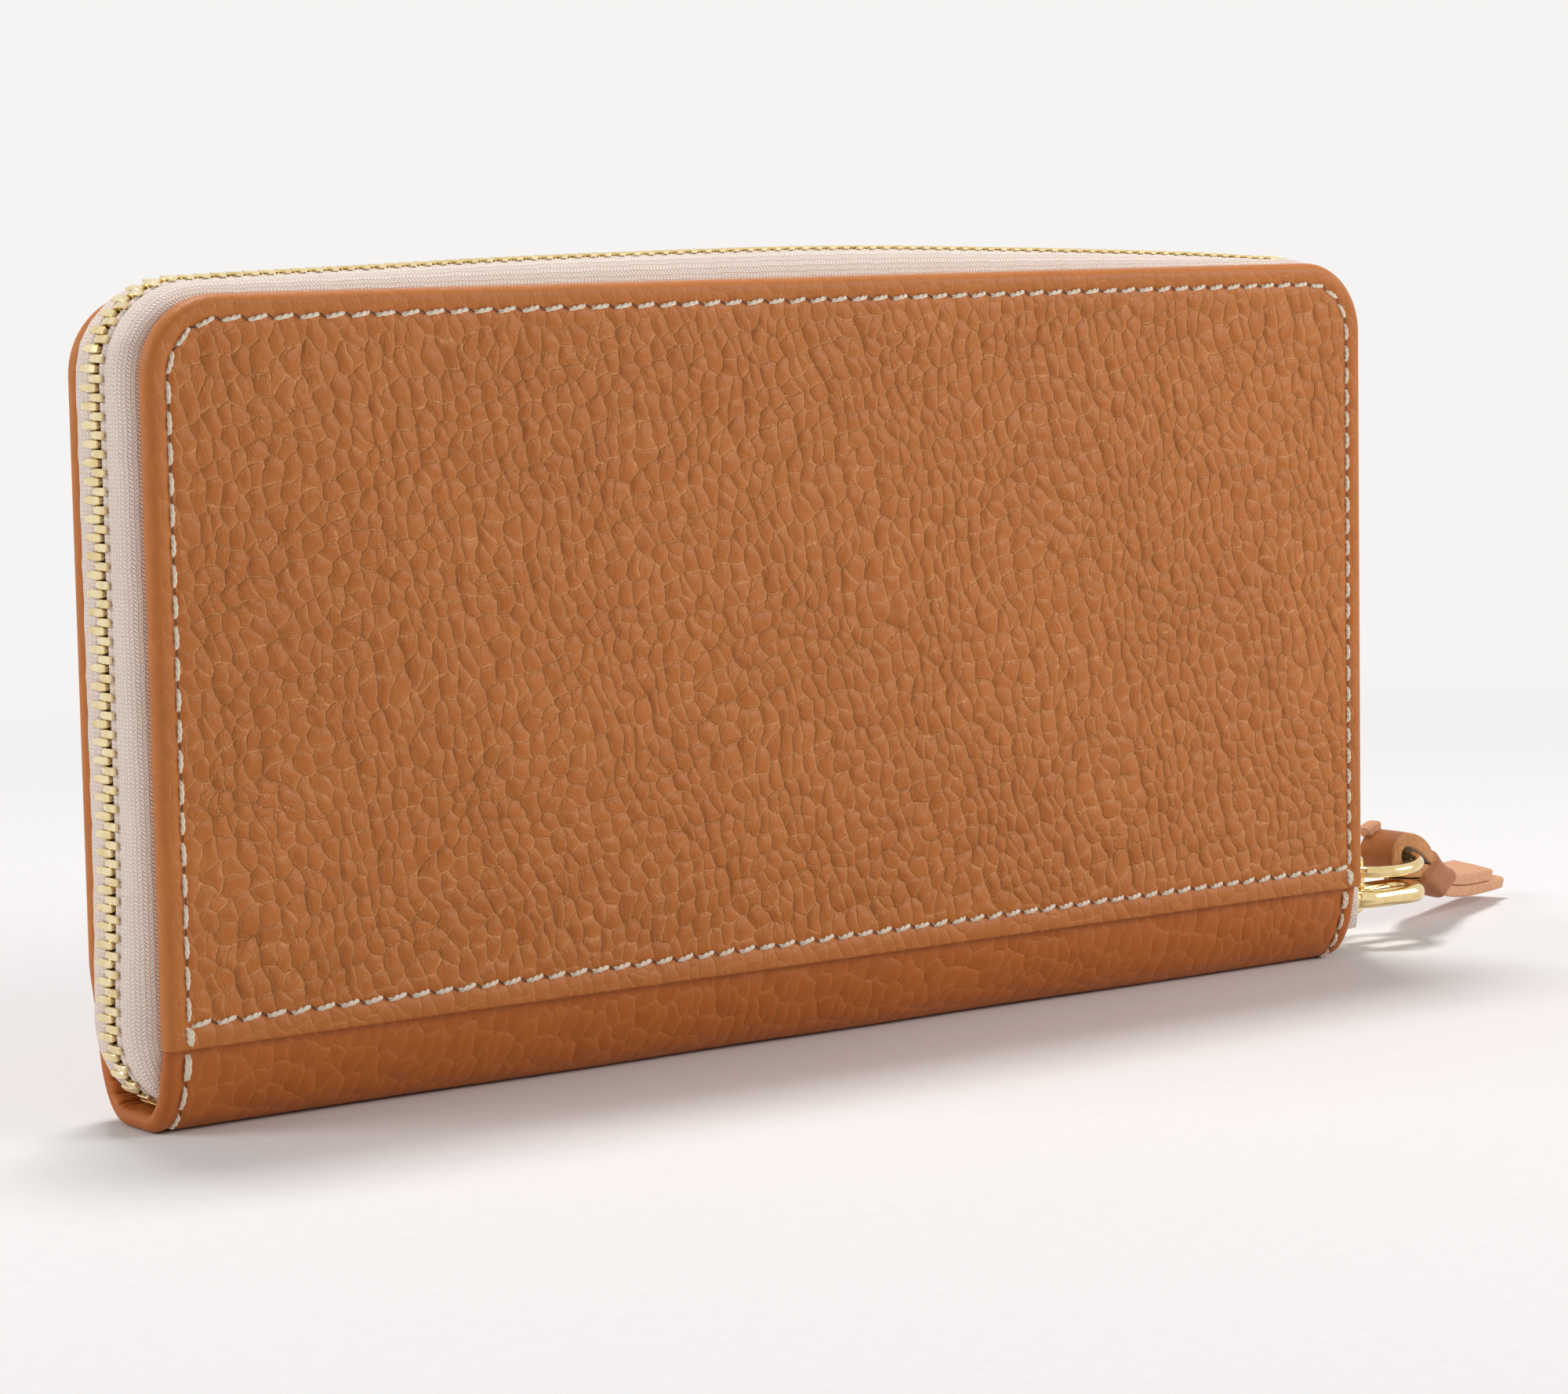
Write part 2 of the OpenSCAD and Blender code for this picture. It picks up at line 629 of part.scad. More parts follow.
// One coin tape: corded edge, out past the slider's side, then down onto the wall's outside
module coin_zip_tape(front) {
    c = cord_t / 2;
    out_q = slider_half_w + 0.35 + tape_t / 2;
    wall_q = (coin_q + clear) / coin_scale + tape_t / 2;
    line = [[0, cord_end_q], [0, out_q - 0.8], [-0.8, out_q], [-plate_top - 0.4, out_q],
        [-plate_top - 3.4, wall_q], [-plate_top - 9, wall_q]];
    profile = concat([[c, cord_end_q], [c, cord_q], [-c, cord_q], [-c, cord_end_q]], strip(line, tape_t));
    color(tape_colour) half(front) on_coin_chain(coin_tape_l / 2)
        stretch(coin_tape_l / coin_scale, profile);
}

module coin_teeth(front) {
    pitch = tooth_pitch * coin_scale;
    start = coin_slider_x + coin_scale * (slider_l / 2 - 1 - post_l - tooth_t);
    count = floor((start + coin_chain_l / 2) / pitch);
    color(gold_colour) for (i = [0:count - 1])
        on_coin_chain(start - (i + (front ? 0.5 : 0)) * pitch) half(front) tooth();
}

module coin_zip_stops() {
    color(gold_colour) {
        for (front = [true, false]) {
            on_coin_chain(coin_slider_x + coin_scale * (slider_l / 2 + 1)) half(front) cord_stop(1.4);
            on_coin_chain(-coin_chain_l / 2 - 1.5) half(front) cord_stop(1.4);
        }
    }
}

// The coin slider's tab, lying along its chain, with an eye round the bail
module coin_pull_tab() {
    eye_x = plate_top + bail_gap / 2;
    bar = 0.9;
    tip_r = tab_w / 2;
    outline = concat(arc([0, tab_l - tip_r], tip_r, 0, 180), [[-tip_r, -bar], [tip_r, -bar]]);
    eye_half_w = bail_w / 2 + 0.3;
    color(gold_colour) on_coin_chain(coin_slider_x) difference() {
        plate_yz(outline, eye_x - tab_t / 2, eye_x + tab_t / 2);
        translate([eye_x - tab_t, -eye_half_w, bar])
            cube([2 * tab_t, 2 * eye_half_w, bail_outer + bail_gap - bar]);
    }
}

spine_base();
spine_lining();
panel(true);  // front_panel
wrap(true);  // front_wrap
board(true);  // front_board
lining(true);  // front_lining
pocket_sheet(true, pocket_w, pocket_top, 0);  // front_pocket_panel
card_tier(true, 1);  // front_card_tier_1
card_tier(true, 2);  // front_card_tier_2
card_tier(true, 3);  // front_card_tier_3
zip_tape(true);  // front_zip_tape
teeth(true, s_arc_right, s_low - clear);  // front_zip_teeth
teeth(true, first_tooth_s, s_arc_right - clear);  // front_zip_teeth_right
teeth(true, s_low, s_end - tooth_t);  // front_zip_teeth_low
top_stop(true);  // front_top_stop
panel(false);  // back_panel
wrap(false);  // back_wrap
board(false);  // back_board
lining(false);  // back_lining
pocket_sheet(false, pocket_w, pocket_top, 0);  // back_pocket_panel
card_tier(false, 1);  // back_card_tier_1
card_tier(false, 2);  // back_card_tier_2
card_tier(false, 3);  // back_card_tier_3
zip_tape(false);  // back_zip_tape
teeth(false, s_arc_right, s_low - clear);  // back_zip_teeth
teeth(false, first_tooth_s, s_arc_right - clear);  // back_zip_teeth_right
teeth(false, s_low, s_end - tooth_t);  // back_zip_teeth_low
top_stop(false);  // back_top_stop
zip_end_tape();
zip_end_teeth();
zip_bottom_stop();
on_slider() slider_body();  // zip_slider_body
on_slider() slider_bail();  // zip_slider_bail
pull_link();
pull_ring();
pull_strap();
pull_collar();
gusset(true, true);  // gusset_front_left
gusset(true, false);  // gusset_front_right
gusset(false, true);  // gusset_back_left
gusset(false, false);  // gusset_back_right
coin_wall(true);  // coin_front_wall
coin_wall(false);  // coin_back_wall
coin_binding();
coin_zip_tape(true);  // coin_zip_tape_front
coin_zip_tape(false);  // coin_zip_tape_back
coin_teeth(true);  // coin_zip_teeth_front
coin_teeth(false);  // coin_zip_teeth_back
coin_zip_stops();
on_coin_chain(coin_slider_x) slider_body();  // coin_slider_body
on_coin_chain(coin_slider_x) slider_bail();  // coin_slider_bail
coin_pull_tab();
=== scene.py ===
"""Zip around wallet: leather, thread, tape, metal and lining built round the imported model."""

import math
from itertools import pairwise

import bmesh
import bpy
import numpy as np
from mathutils import Matrix, Vector


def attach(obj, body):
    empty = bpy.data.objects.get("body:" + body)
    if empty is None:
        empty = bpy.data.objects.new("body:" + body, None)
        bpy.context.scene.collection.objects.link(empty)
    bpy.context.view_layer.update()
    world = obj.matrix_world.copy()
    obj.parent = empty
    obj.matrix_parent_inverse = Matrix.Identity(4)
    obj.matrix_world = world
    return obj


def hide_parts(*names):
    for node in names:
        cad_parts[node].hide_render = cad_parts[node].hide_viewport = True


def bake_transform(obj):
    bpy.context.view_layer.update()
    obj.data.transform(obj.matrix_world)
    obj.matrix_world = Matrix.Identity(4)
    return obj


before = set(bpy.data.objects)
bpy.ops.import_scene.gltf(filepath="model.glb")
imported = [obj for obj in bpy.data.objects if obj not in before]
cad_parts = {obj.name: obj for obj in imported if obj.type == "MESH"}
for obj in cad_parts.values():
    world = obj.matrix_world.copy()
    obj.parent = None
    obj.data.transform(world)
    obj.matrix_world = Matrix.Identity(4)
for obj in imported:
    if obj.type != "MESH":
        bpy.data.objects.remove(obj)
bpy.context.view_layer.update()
scene = bpy.context.scene
scene.view_settings.view_transform = "Standard"

# Sizes in millimetres, as in the part's source

MM = 0.001
PI = math.pi
HALF_W, TOP_Z, CORNER_R = 98.5, 102.0, 10.0
FACE, SKIN, FLAP, LINING = 10.5, 9.3, 7.7, 7.3
CORNER_X, CORNER_Z = HALF_W - CORNER_R, TOP_Z - CORNER_R
SEAM_Z, SEAM_IN = 14.1, 3.0
FOLD_Q, SPINE_R, SPINE_RISE = 2.8, 6.5, 11.0
PROUD, CHAIN_R = 1.0, 11.0
RIGHT_END_Z, LEFT_END_Z, CURL_R, CURL_DEG = 3.8, 12.5, 11.0, 58.0
FLARE = math.atan(2.3 / (TOP_Z - CORNER_R - RIGHT_END_Z))
PITCH, TOOTH_T = 2.26, 1.0
SLIDER_Z, SLIDER_L, SLIDER_HALF_W, SLIDER_WALL, POST_L = 9.4, 10.0, 3.9, 1.0, 2.2
TAPE_HALF, CLEAR = 0.3, 0.05
COVERS = {"front": -1, "back": 1}


def smoothstep(x, low, high):
    t = np.clip((np.asarray(x, float) - low) / (high - low), 0, 1)
    return t * t * (3 - 2 * t)


def bell(x, width):
    """1 at zero, falling off to both sides over a width."""
    return np.exp(-((x / width) ** 2))


def stack(*parts):
    """Coordinates side by side in a last axis, all stretched to one shape."""
    return np.stack(np.broadcast_arrays(*parts), -1)


def mirrored(line):
    """A plane line's mirror image, from its far end."""
    return (line * [-1, 1])[::-1]


def lengths(line):
    """The length along a line of points, up to each of them."""
    return np.concatenate([[0], np.cumsum(np.linalg.norm(np.diff(line, axis=0), axis=1))])


def normals(line):
    """Directions to the left of a plane line, one for each point."""
    t = np.gradient(line, axis=0)
    t /= np.linalg.norm(t, axis=1)[:, None]
    return stack(-t[:, 1], t[:, 0])


def filled(corners, step=None, count=4):
    """The line through some corners, with points about a step apart, or a count of them to each stretch."""
    corners = np.asarray(corners, float)
    line = []
    for a, b in pairwise(corners):
        n = max(2, round(np.linalg.norm(b - a) / step)) if step else count
        line += [a + (b - a) * i / n for i in range(n)]
    return np.array(line + [corners[-1]])


def soften(values, times):
    """Evens out a row of values or points in place, apart from its ends."""
    for _ in range(times):
        values[1:-1] = 0.25 * values[:-2] + 0.5 * values[1:-1] + 0.25 * values[2:]


# Meshes


def link(name, data):
    """A new object in the scene."""
    made = bpy.data.objects.new(name, data)
    scene.collection.objects.link(made)
    return made


def join_points(mesh, flatten=False):
    """Joins points that coincide, and clears faces without area, or edges between faces that lie flat."""
    bm = bmesh.new()
    bm.from_mesh(mesh)
    bmesh.ops.remove_doubles(bm, verts=bm.verts, dist=2e-6)
    if flatten:
        bmesh.ops.dissolve_limit(bm, angle_limit=math.radians(1), verts=bm.verts, edges=bm.edges)
    else:
        bmesh.ops.dissolve_degenerate(bm, edges=bm.edges, dist=1e-7)
    bm.to_mesh(mesh)
    bm.free()


def put_flat(mesh, points):
    """Stores the unrolled coordinates that the materials use."""
    data = mesh.attributes.new("flat", "FLOAT_VECTOR", "POINT").data
    data.foreach_set("vector", np.asarray(points, np.float32).ravel())


def settle(piece, slot, *nodes, body=None):
    """Hides the CAD nodes that a piece stands for and, if it rides on one body, attaches it to that body; the slot is
    not used.
    """
    if nodes:
        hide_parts(*nodes)
    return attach(piece, body) if body else piece


class Shape:
    """Points and faces of one piece, with its unrolled coordinates and a mask for its material."""

    def __init__(self):
        self.points, self.flat, self.mask, self.faces, self.size = [], [], [], [], 0

    def add(self, points, faces, flat=None, mask=0.0):
        points = np.asarray(points, float).reshape(-1, 3)
        self.points.append(points)
        self.flat.append(points if flat is None else np.asarray(flat, float).reshape(-1, 3))
        self.mask.append(np.broadcast_to(np.asarray(mask, float).ravel(), (len(points),)))
        self.faces += [[i + self.size for i in f] for f in faces]
        self.size += len(points)

    def grid(self, points, flat=None, mask=0.0, loop_u=False, loop_v=False, flip=False):
        points = np.asarray(points, float)
        rows, cols = points.shape[:2]
        index = np.arange(rows * cols).reshape(rows, cols)
        u = np.arange(rows if loop_u else rows - 1)
        v = np.arange(cols if loop_v else cols - 1)
        u1, v1 = (u + 1) % rows, (v + 1) % cols
        corners = [index[np.ix_(i, j)] for i, j in ((u, v), (u, v1), (u1, v1), (u1, v))]
        quads = np.stack(corners, -1).reshape(-1, 4)
        self.add(points, (quads[:, ::-1] if flip else quads).tolist(), flat, mask)

    def caps(self, start, rows, cols, flip=False):
        """Closes both ends of a grid of closed rows whose first point is start."""
        first = list(range(start, start + cols))
        last = [i + (rows - 1) * cols for i in first]
        self.faces += [first[::-1], last] if flip else [first, last[::-1]]

    def tube(self, line, radius, sides, closed=False, up=(0, 0, 1)):
        """A round tube along a line of points; radius may be one value per point."""
        line = np.asarray(line, float)
        tangent = np.roll(line, -1, 0) - np.roll(line, 1, 0) if closed else np.gradient(line, axis=0)
        tangent /= np.linalg.norm(tangent, axis=1)[:, None]
        a = np.cross(tangent, np.asarray(up, float))
        a /= np.linalg.norm(a, axis=1)[:, None]
        b = np.cross(tangent, a)
        turn = np.arange(sides) / sides * 2 * PI
        ring = a[:, None] * np.cos(turn)[:, None] + b[:, None] * np.sin(turn)[:, None]
        radius = np.broadcast_to(np.asarray(radius, float), (len(line),))[:, None]
        flat = stack(lengths(line)[:, None], turn * radius, 0.0)
        start = self.size
        self.grid(line[:, None] + ring * radius[..., None], flat, loop_u=closed, loop_v=True)
        if not closed:
            self.caps(start, len(line), sides)

    def make(self, name, material, smooth=True, sharp=None, weld=False, side=1):
        """The piece itself; with side -1 it is mirrored from the back cover's half to the front one's."""
        points, faces = np.concatenate(self.points) * MM, self.faces
        if side < 0:
            points = points * [1, -1, 1]
            faces = [f[::-1] for f in faces]
        mesh = bpy.data.meshes.new(name)
        mesh.from_pydata(points.tolist(), [], faces)
        put_flat(mesh, np.concatenate(self.flat))
        mask = np.concatenate(self.mask).astype(np.float32)
        mesh.attributes.new("mask", "FLOAT", "POINT").data.foreach_set("value", mask)
        if weld:
            join_points(mesh)
        mesh.polygons.foreach_set("use_smooth", [smooth] * len(mesh.polygons))
        if sharp:
            mesh.set_sharp_from_angle(angle=math.radians(sharp))
        mesh.update()
        mesh.materials.append(material)
        return link(name, mesh)


def bevelled(node, name, body, width, segments=3):
    """A copy of a metal solid with its edges rounded over."""
    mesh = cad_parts[node].data.copy()
    mesh.name = name
    join_points(mesh, flatten=True)
    put_flat(mesh, np.array([v.co for v in mesh.vertices], np.float32) / MM)
    mesh.materials.clear()
    mesh.materials.append(GOLD)
    mesh.polygons.foreach_set("use_smooth", [True] * len(mesh.polygons))
    piece = link(name, mesh)
    bevel = piece.modifiers.new("round", "BEVEL")
    bevel.width = width * MM
    bevel.segments = segments
    bevel.limit_method = "ANGLE"
    bevel.angle_limit = math.radians(28)
    bevel.harden_normals = True
    return settle(piece, "gold", node, body=body)


# Materials


class Graph:
    """Short names for the nodes of one material."""

    def __init__(self, name):
        self.material = bpy.data.materials.new(name)
        self.material.use_nodes = True
        self.tree = self.material.node_tree
        self.tree.nodes.clear()
        self.bsdf = self.node("BsdfPrincipled")
        self.out = self.node("OutputMaterial")
        self.tree.links.new(self.bsdf.outputs[0], self.out.inputs["Surface"])

    def node(self, kind, inputs=(), **settings):
        made = self.tree.nodes.new("ShaderNode" + kind)
        for key, value in settings.items():
            setattr(made, key, value)
        for key, value in dict(inputs).items():
            self.put(made.inputs[key], value)
        return made

    def put(self, socket, value):
        if isinstance(value, bpy.types.NodeSocket):
            self.tree.links.new(value, socket)
        else:
            socket.default_value = value

    def set(self, **inputs):
        for key, value in inputs.items():
            self.put(self.bsdf.inputs[key.replace("_", " ")], value)

    def attribute(self, name, output="Vector"):
        return self.node("Attribute", attribute_name=name).outputs[output]

    def math(self, operation, a, b=0.0, c=0.0):
        return self.node("Math", {0: a, 1: b, 2: c}, operation=operation).outputs[0]

    def times(self, a, b, plus=0.0):
        """a * b + plus"""
        return self.math("MULTIPLY_ADD", a, b, plus)

    def vector(self, operation, a, b=(0, 0, 0), c=(0, 0, 0)):
        return self.node("VectorMath", {0: a, 1: b, 2: c}, operation=operation).outputs[0]

    def ease(self, value, low, high, to_low=0.0, to_high=1.0):
        inputs = {"Value": value, "From Min": low, "From Max": high, "To Min": to_low, "To Max": to_high}
        return self.node("MapRange", inputs, interpolation_type="SMOOTHSTEP").outputs["Result"]

    def mix(self, factor, a, b):
        return self.node("Mix", {0: factor, 6: a, 7: b}, data_type="RGBA").outputs[2]

    def noise(self, at, scale, detail, output="Fac"):
        return self.node("TexNoise", {"Vector": at, "Scale": scale, "Detail": detail}).outputs[output]

    def cells(self, at, randomness, feature="DISTANCE_TO_EDGE", output="Distance"):
        inputs = {"Vector": at, "Scale": 1.0, "Randomness": randomness}
        return self.node("TexVoronoi", inputs, feature=feature, voronoi_dimensions="2D").outputs[output]

    def bump(self, height, distance_mm, strength=1.0):
        inputs = {"Height": height, "Distance": distance_mm * MM, "Strength": strength}
        self.put(self.bsdf.inputs["Normal"], self.node("Bump", inputs).outputs[0])


def srgb(r, g, b):
    def linear(c):
        c /= 255
        return c / 12.92 if c <= 0.04045 else ((c + 0.055) / 1.055) ** 2.4

    return (linear(r), linear(g), linear(b), 1.0)


def leather(name, dark, mid, light, depth, cell=2.1, tall=1.25, lean=-16, rough=0.44):
    """Pebbled leather: domed cells whose creases, fine wrinkles and cell rims are lightened as painted highlight,
    smooth where the mask is 1.
    """
    g = Graph(name)
    flat = g.attribute("flat")
    calm = g.attribute("mask", "Fac")
    at = flat
    for scale, detail, reach in ((0.05, 1.0, 7), (0.42, 0.0, 1.2), (1.3, 1.0, 0.28)):
        drift = g.vector("SUBTRACT", g.noise(flat, scale, detail, "Color"), (0.5, 0.5, 0.5))
        at = g.vector("MULTIPLY_ADD", drift, (reach, reach, 0), at)
    turned = g.node("Mapping", {"Vector": at, "Rotation": (0, 0, math.radians(lean))}).outputs[0]
    at_big = g.vector("MULTIPLY", turned, (1 / cell, 1 / (cell * tall), 0))
    at_fine = g.vector("MULTIPLY", turned, (2.6 / cell, 2.2 / (cell * tall), 0))
    spread = 0.66
    big, fine = g.cells(at_big, spread), g.cells(at_fine, 0.95)
    crease = g.ease(big, 0.005, 0.085, 1.0, 0.0)
    rim = g.ease(big, 0.02, 0.3, 1.0, 0.0)
    patch = g.ease(g.noise(flat, 0.16, 1.0), 0.42, 0.62)
    wrinkle = g.times(g.ease(fine, 0.0, 0.16, 1.0, 0.0), g.times(patch, 0.5, 0.15))
    wrinkle = g.times(wrinkle, g.times(rim, 0.75, 0.25))
    show = g.math("SUBTRACT", 1.0, g.times(calm, 0.9))

    # Relief
    pebble = g.cells(at_big, spread, "F1")
    dome = g.times(g.times(pebble, pebble), -2.3)
    dome = g.times(g.ease(big, 0.0, 0.12, 1.0, 0.0), -0.22, dome)
    pore = g.noise(flat, 5.5, 3.0)
    scuff = g.noise(g.vector("MULTIPLY", turned, (2.6, 0.8, 0)), 1.0, 3.0)
    height = g.times(g.times(wrinkle, show), -0.36, g.times(dome, show))
    height = g.times(pore, 0.08, g.times(scuff, 0.22, height))
    g.bump(height, depth)

    # Colour: a body tone that varies by cell and at random, with painted highlight on creases, wrinkles and cell rims
    tone = g.ease(g.noise(flat, 0.03, 2.0), 0.3, 0.7)
    spot = g.ease(g.cells(at_big, spread, "F1", "Color"), 0.0, 1.0)
    body = g.mix(g.times(spot, 0.24, g.times(tone, 0.24)), mid, dark)
    # the noise below sets, patch by patch, how strong the painted highlight on the creases is
    patchy = g.ease(g.noise(flat, 0.7, 1.0), 0.3, 0.62, 0.35, 1.0)
    lines = g.math("MAXIMUM", g.times(crease, patchy), g.times(wrinkle, 0.45))
    lines = g.math("MAXIMUM", lines, g.times(rim, 0.34))
    lines = g.times(lines, g.times(show, 0.74, 0.03))
    # painted highlight and shade: creases, wrinkles and cell rims turn towards the light colour, standing in for lit
    # ridges, and leave the cell middles darker, as shaded domes
    colour = g.mix(lines, body, light)
    colour = g.mix(g.times(g.ease(scuff, 0.4, 0.8), 0.14), colour, dark)
    colour = g.mix(g.times(calm, 0.10), colour, light)
    g.set(Base_Color=colour, Specular_IOR_Level=0.28)
    g.set(Roughness=g.times(lines, 0.12, g.times(pore, 0.10, rough - 0.05)))
    return g.material


def cut_leather(name, pale, deep):
    """The raw side of cut leather: fibres along the edge."""
    g = Graph(name)
    flat = g.attribute("flat")
    fibre = g.noise(g.vector("MULTIPLY", flat, (0.9, 6.0, 6.0)), 1.0, 4.0)
    blot = g.noise(flat, 0.5, 2.0)
    colour = g.mix(g.ease(fibre, 0.3, 0.75), pale, deep)
    g.set(Base_Color=g.mix(g.times(g.ease(blot, 0.4, 0.7), 0.35), colour, deep), Roughness=0.72)
    g.bump(fibre, 0.09)
    return g.material


def weave(name, pale, deep, yarn, depth, herringbone=True):
    """Woven cloth in columns of slanted yarns, which change their slant from column to column."""
    g = Graph(name)
    flat = g.node("SeparateXYZ", {0: g.attribute("flat")})
    across = g.math("DIVIDE", flat.outputs[1], yarn)
    column = g.math("FLOOR", across)
    inside = g.math("SUBTRACT", across, column)
    odd = g.math("PINGPONG", column, 1.0)
    other = g.math("SUBTRACT", 1.0, inside)
    slant = g.node("Mix", {0: odd, 2: inside, 3: other}, data_type="FLOAT").outputs[0]
    along = g.times(slant, 0.85 if herringbone else 0.0, g.math("DIVIDE", flat.outputs[0], yarn * 0.85))
    if not herringbone:
        along = g.times(odd, 0.5, along)
    yarns = g.times(g.math("SINE", g.times(along, 2 * PI)), 0.5, 0.5)
    seam = g.ease(g.math("MINIMUM", inside, other), 0.0, 0.22)
    fuzz = g.noise(g.attribute("flat"), 4.0, 3.0)
    height = g.times(fuzz, 0.35, g.times(yarns, seam))
    g.bump(height, depth)
    dirt = g.noise(g.attribute("flat"), 0.12, 2.0)
    colour = g.mix(g.ease(height, 0.08, 0.85), deep, pale)
    g.set(Base_Color=g.mix(g.times(g.ease(dirt, 0.4, 0.8), 0.16), colour, deep))
    g.set(Roughness=0.85, Sheen_Weight=0.25, Sheen_Roughness=0.5)
    return g.material


def thread_material(name, pale, deep):
    """Sewing thread: fibres along it, with darker spots."""
    g = Graph(name)
    flat = g.attribute("flat")
    fibre = g.noise(g.vector("MULTIPLY", flat, (1.2, 9.0, 9.0)), 1.0, 3.0)
    blot = g.noise(flat, 0.7, 1.0)
    colour = g.mix(g.ease(fibre, 0.32, 0.7), deep, pale)
    g.set(Base_Color=g.mix(g.times(g.ease(blot, 0.5, 0.8), 0.3), colour, deep))
    g.set(Roughness=0.7, Sheen_Weight=0.2)
    g.bump(fibre, 0.06)
    return g.material


def metal(name, colour, patchy, rough):
    """Plated metal with faint polishing marks."""
    g = Graph(name)
    flat = g.attribute("flat")
    marks = g.noise(g.vector("MULTIPLY", flat, (0.5, 3.5, 3.5)), 1.0, 4.0)
    cloud = g.noise(flat, 0.35, 2.0)
    # painted reflection: patches of the second, darker gold partly stand in for the dark reflections that the pale
    # surroundings don't give, and partly vary the plating's tone
    g.set(Base_Color=g.mix(g.ease(cloud, 0.35, 0.75), colour, patchy))
    g.set(Metallic=1.0, Roughness=g.times(marks, 0.14, rough - 0.05))
    g.bump(marks, 0.006, 0.6)
    return g.material


def board_material():
    """The grey fibre board that stiffens a cover."""
    g = Graph("fibre board")
    flat = g.node("TexCoord").outputs["Object"]
    fibre = g.noise(flat, 900.0, 4.0)
    g.set(Base_Color=g.mix(g.ease(fibre, 0.3, 0.7), srgb(120, 110, 98), srgb(158, 148, 134)), Roughness=0.9)
    g.bump(fibre, 0.08)
    return g.material


TAN = leather("pebbled leather", srgb(162, 87, 26), srgb(187, 109, 44), srgb(222, 154, 98), depth=0.38)
strip_look = dict(cell=2.2, tall=1.6, lean=14, depth=0.26)
# painted shade: the strip's leather is the panels' leather made darker, for the shade on the strip where it curves
# under towards the floor
SHADED_WRAP = leather("pebbled leather strip shaded", srgb(160, 80, 23), srgb(182, 99, 36), srgb(204, 129, 68), **strip_look)
strap_look = dict(cell=1.4, tall=1.2, depth=0.2, rough=0.5)
STRAP = leather("strap leather", srgb(190, 128, 88), srgb(208, 148, 108), srgb(230, 182, 146), **strap_look)
loop_look = dict(cell=1.2, tall=1.2, depth=0.1, rough=0.46)
# painted shade: the loop is the strap's own leather, made darker for the shade on its side turned from the light; the
# loop's cut edge below is darkened the same way
SHADED_LOOP_SKIN = leather("strap loop leather shaded", srgb(132, 68, 20), srgb(156, 88, 32), srgb(188, 124, 70), **loop_look)
pocket_look = dict(cell=0.9, tall=1.1, depth=0.05, rough=0.5)
POCKET = leather("pocket leather", srgb(160, 98, 56), srgb(178, 116, 72), srgb(196, 140, 98), **pocket_look)
CUT = cut_leather("cut loop edge shaded", srgb(204, 146, 94), srgb(170, 112, 62))
PALE_CUT = cut_leather("cut strap edge", srgb(218, 166, 126), srgb(192, 136, 98))
RAW = cut_leather("raw leather inside", srgb(178, 164, 158), srgb(120, 100, 92))
TAPE = weave("zip tape", srgb(255, 245, 235), srgb(228, 200, 183), yarn=0.6, depth=0.14)
LINEN = weave("lining cloth", srgb(214, 186, 160), srgb(150, 122, 100), yarn=0.5, depth=0.10, herringbone=False)
THREAD = thread_material("thread", srgb(255, 247, 230), srgb(238, 220, 194))
# painted shade: dark slits stand in for the shade inside the needle holes
HOLE = cut_leather("needle hole", srgb(96, 50, 22), srgb(58, 28, 12))
GOLD = metal("pale gold", srgb(240, 219, 166), srgb(226, 198, 138), rough=0.08)
TEETH = metal("pale gold teeth", srgb(242, 226, 182), srgb(226, 203, 148), rough=0.2)


# Camera, light and floor


def make_camera():
    azimuth, elevation, roll = -0.62806, 0.10606, -0.0189
    level = math.cos(elevation)
    back = Vector((math.sin(azimuth) * level, -math.cos(azimuth) * level, math.sin(elevation)))
    right = (-back).cross(Vector((0, 0, 1))).normalized()
    up = right.cross(-back)
    x = right * math.cos(roll) + up * math.sin(roll)
    y = up * math.cos(roll) - right * math.sin(roll)
    data = bpy.data.cameras.new("camera")
    data.lens, data.sensor_width, data.clip_start = 101.84, 36, 0.01
    matrix = Matrix((x, y, back)).transposed().to_4x4()
    matrix.translation = Vector((-0.34744, -0.48089, 0.10889))
    scene.camera = link("camera", data)
    scene.camera.matrix_world = matrix


PAPER = srgb(246, 244, 243)


def seen(tree):
    """1 for rays from the camera, a mirror or glass, else 0."""
    path = tree.nodes.new("ShaderNodeLightPath")
    total = path.outputs["Is Camera Ray"]
    for name in ("Is Glossy Ray", "Is Transmission Ray"):
        most = tree.nodes.new("ShaderNodeMath")
        most.operation = "MAXIMUM"
        tree.links.new(total, most.inputs[0])
        tree.links.new(path.outputs[name], most.inputs[1])
        total = most.outputs[0]
    return total


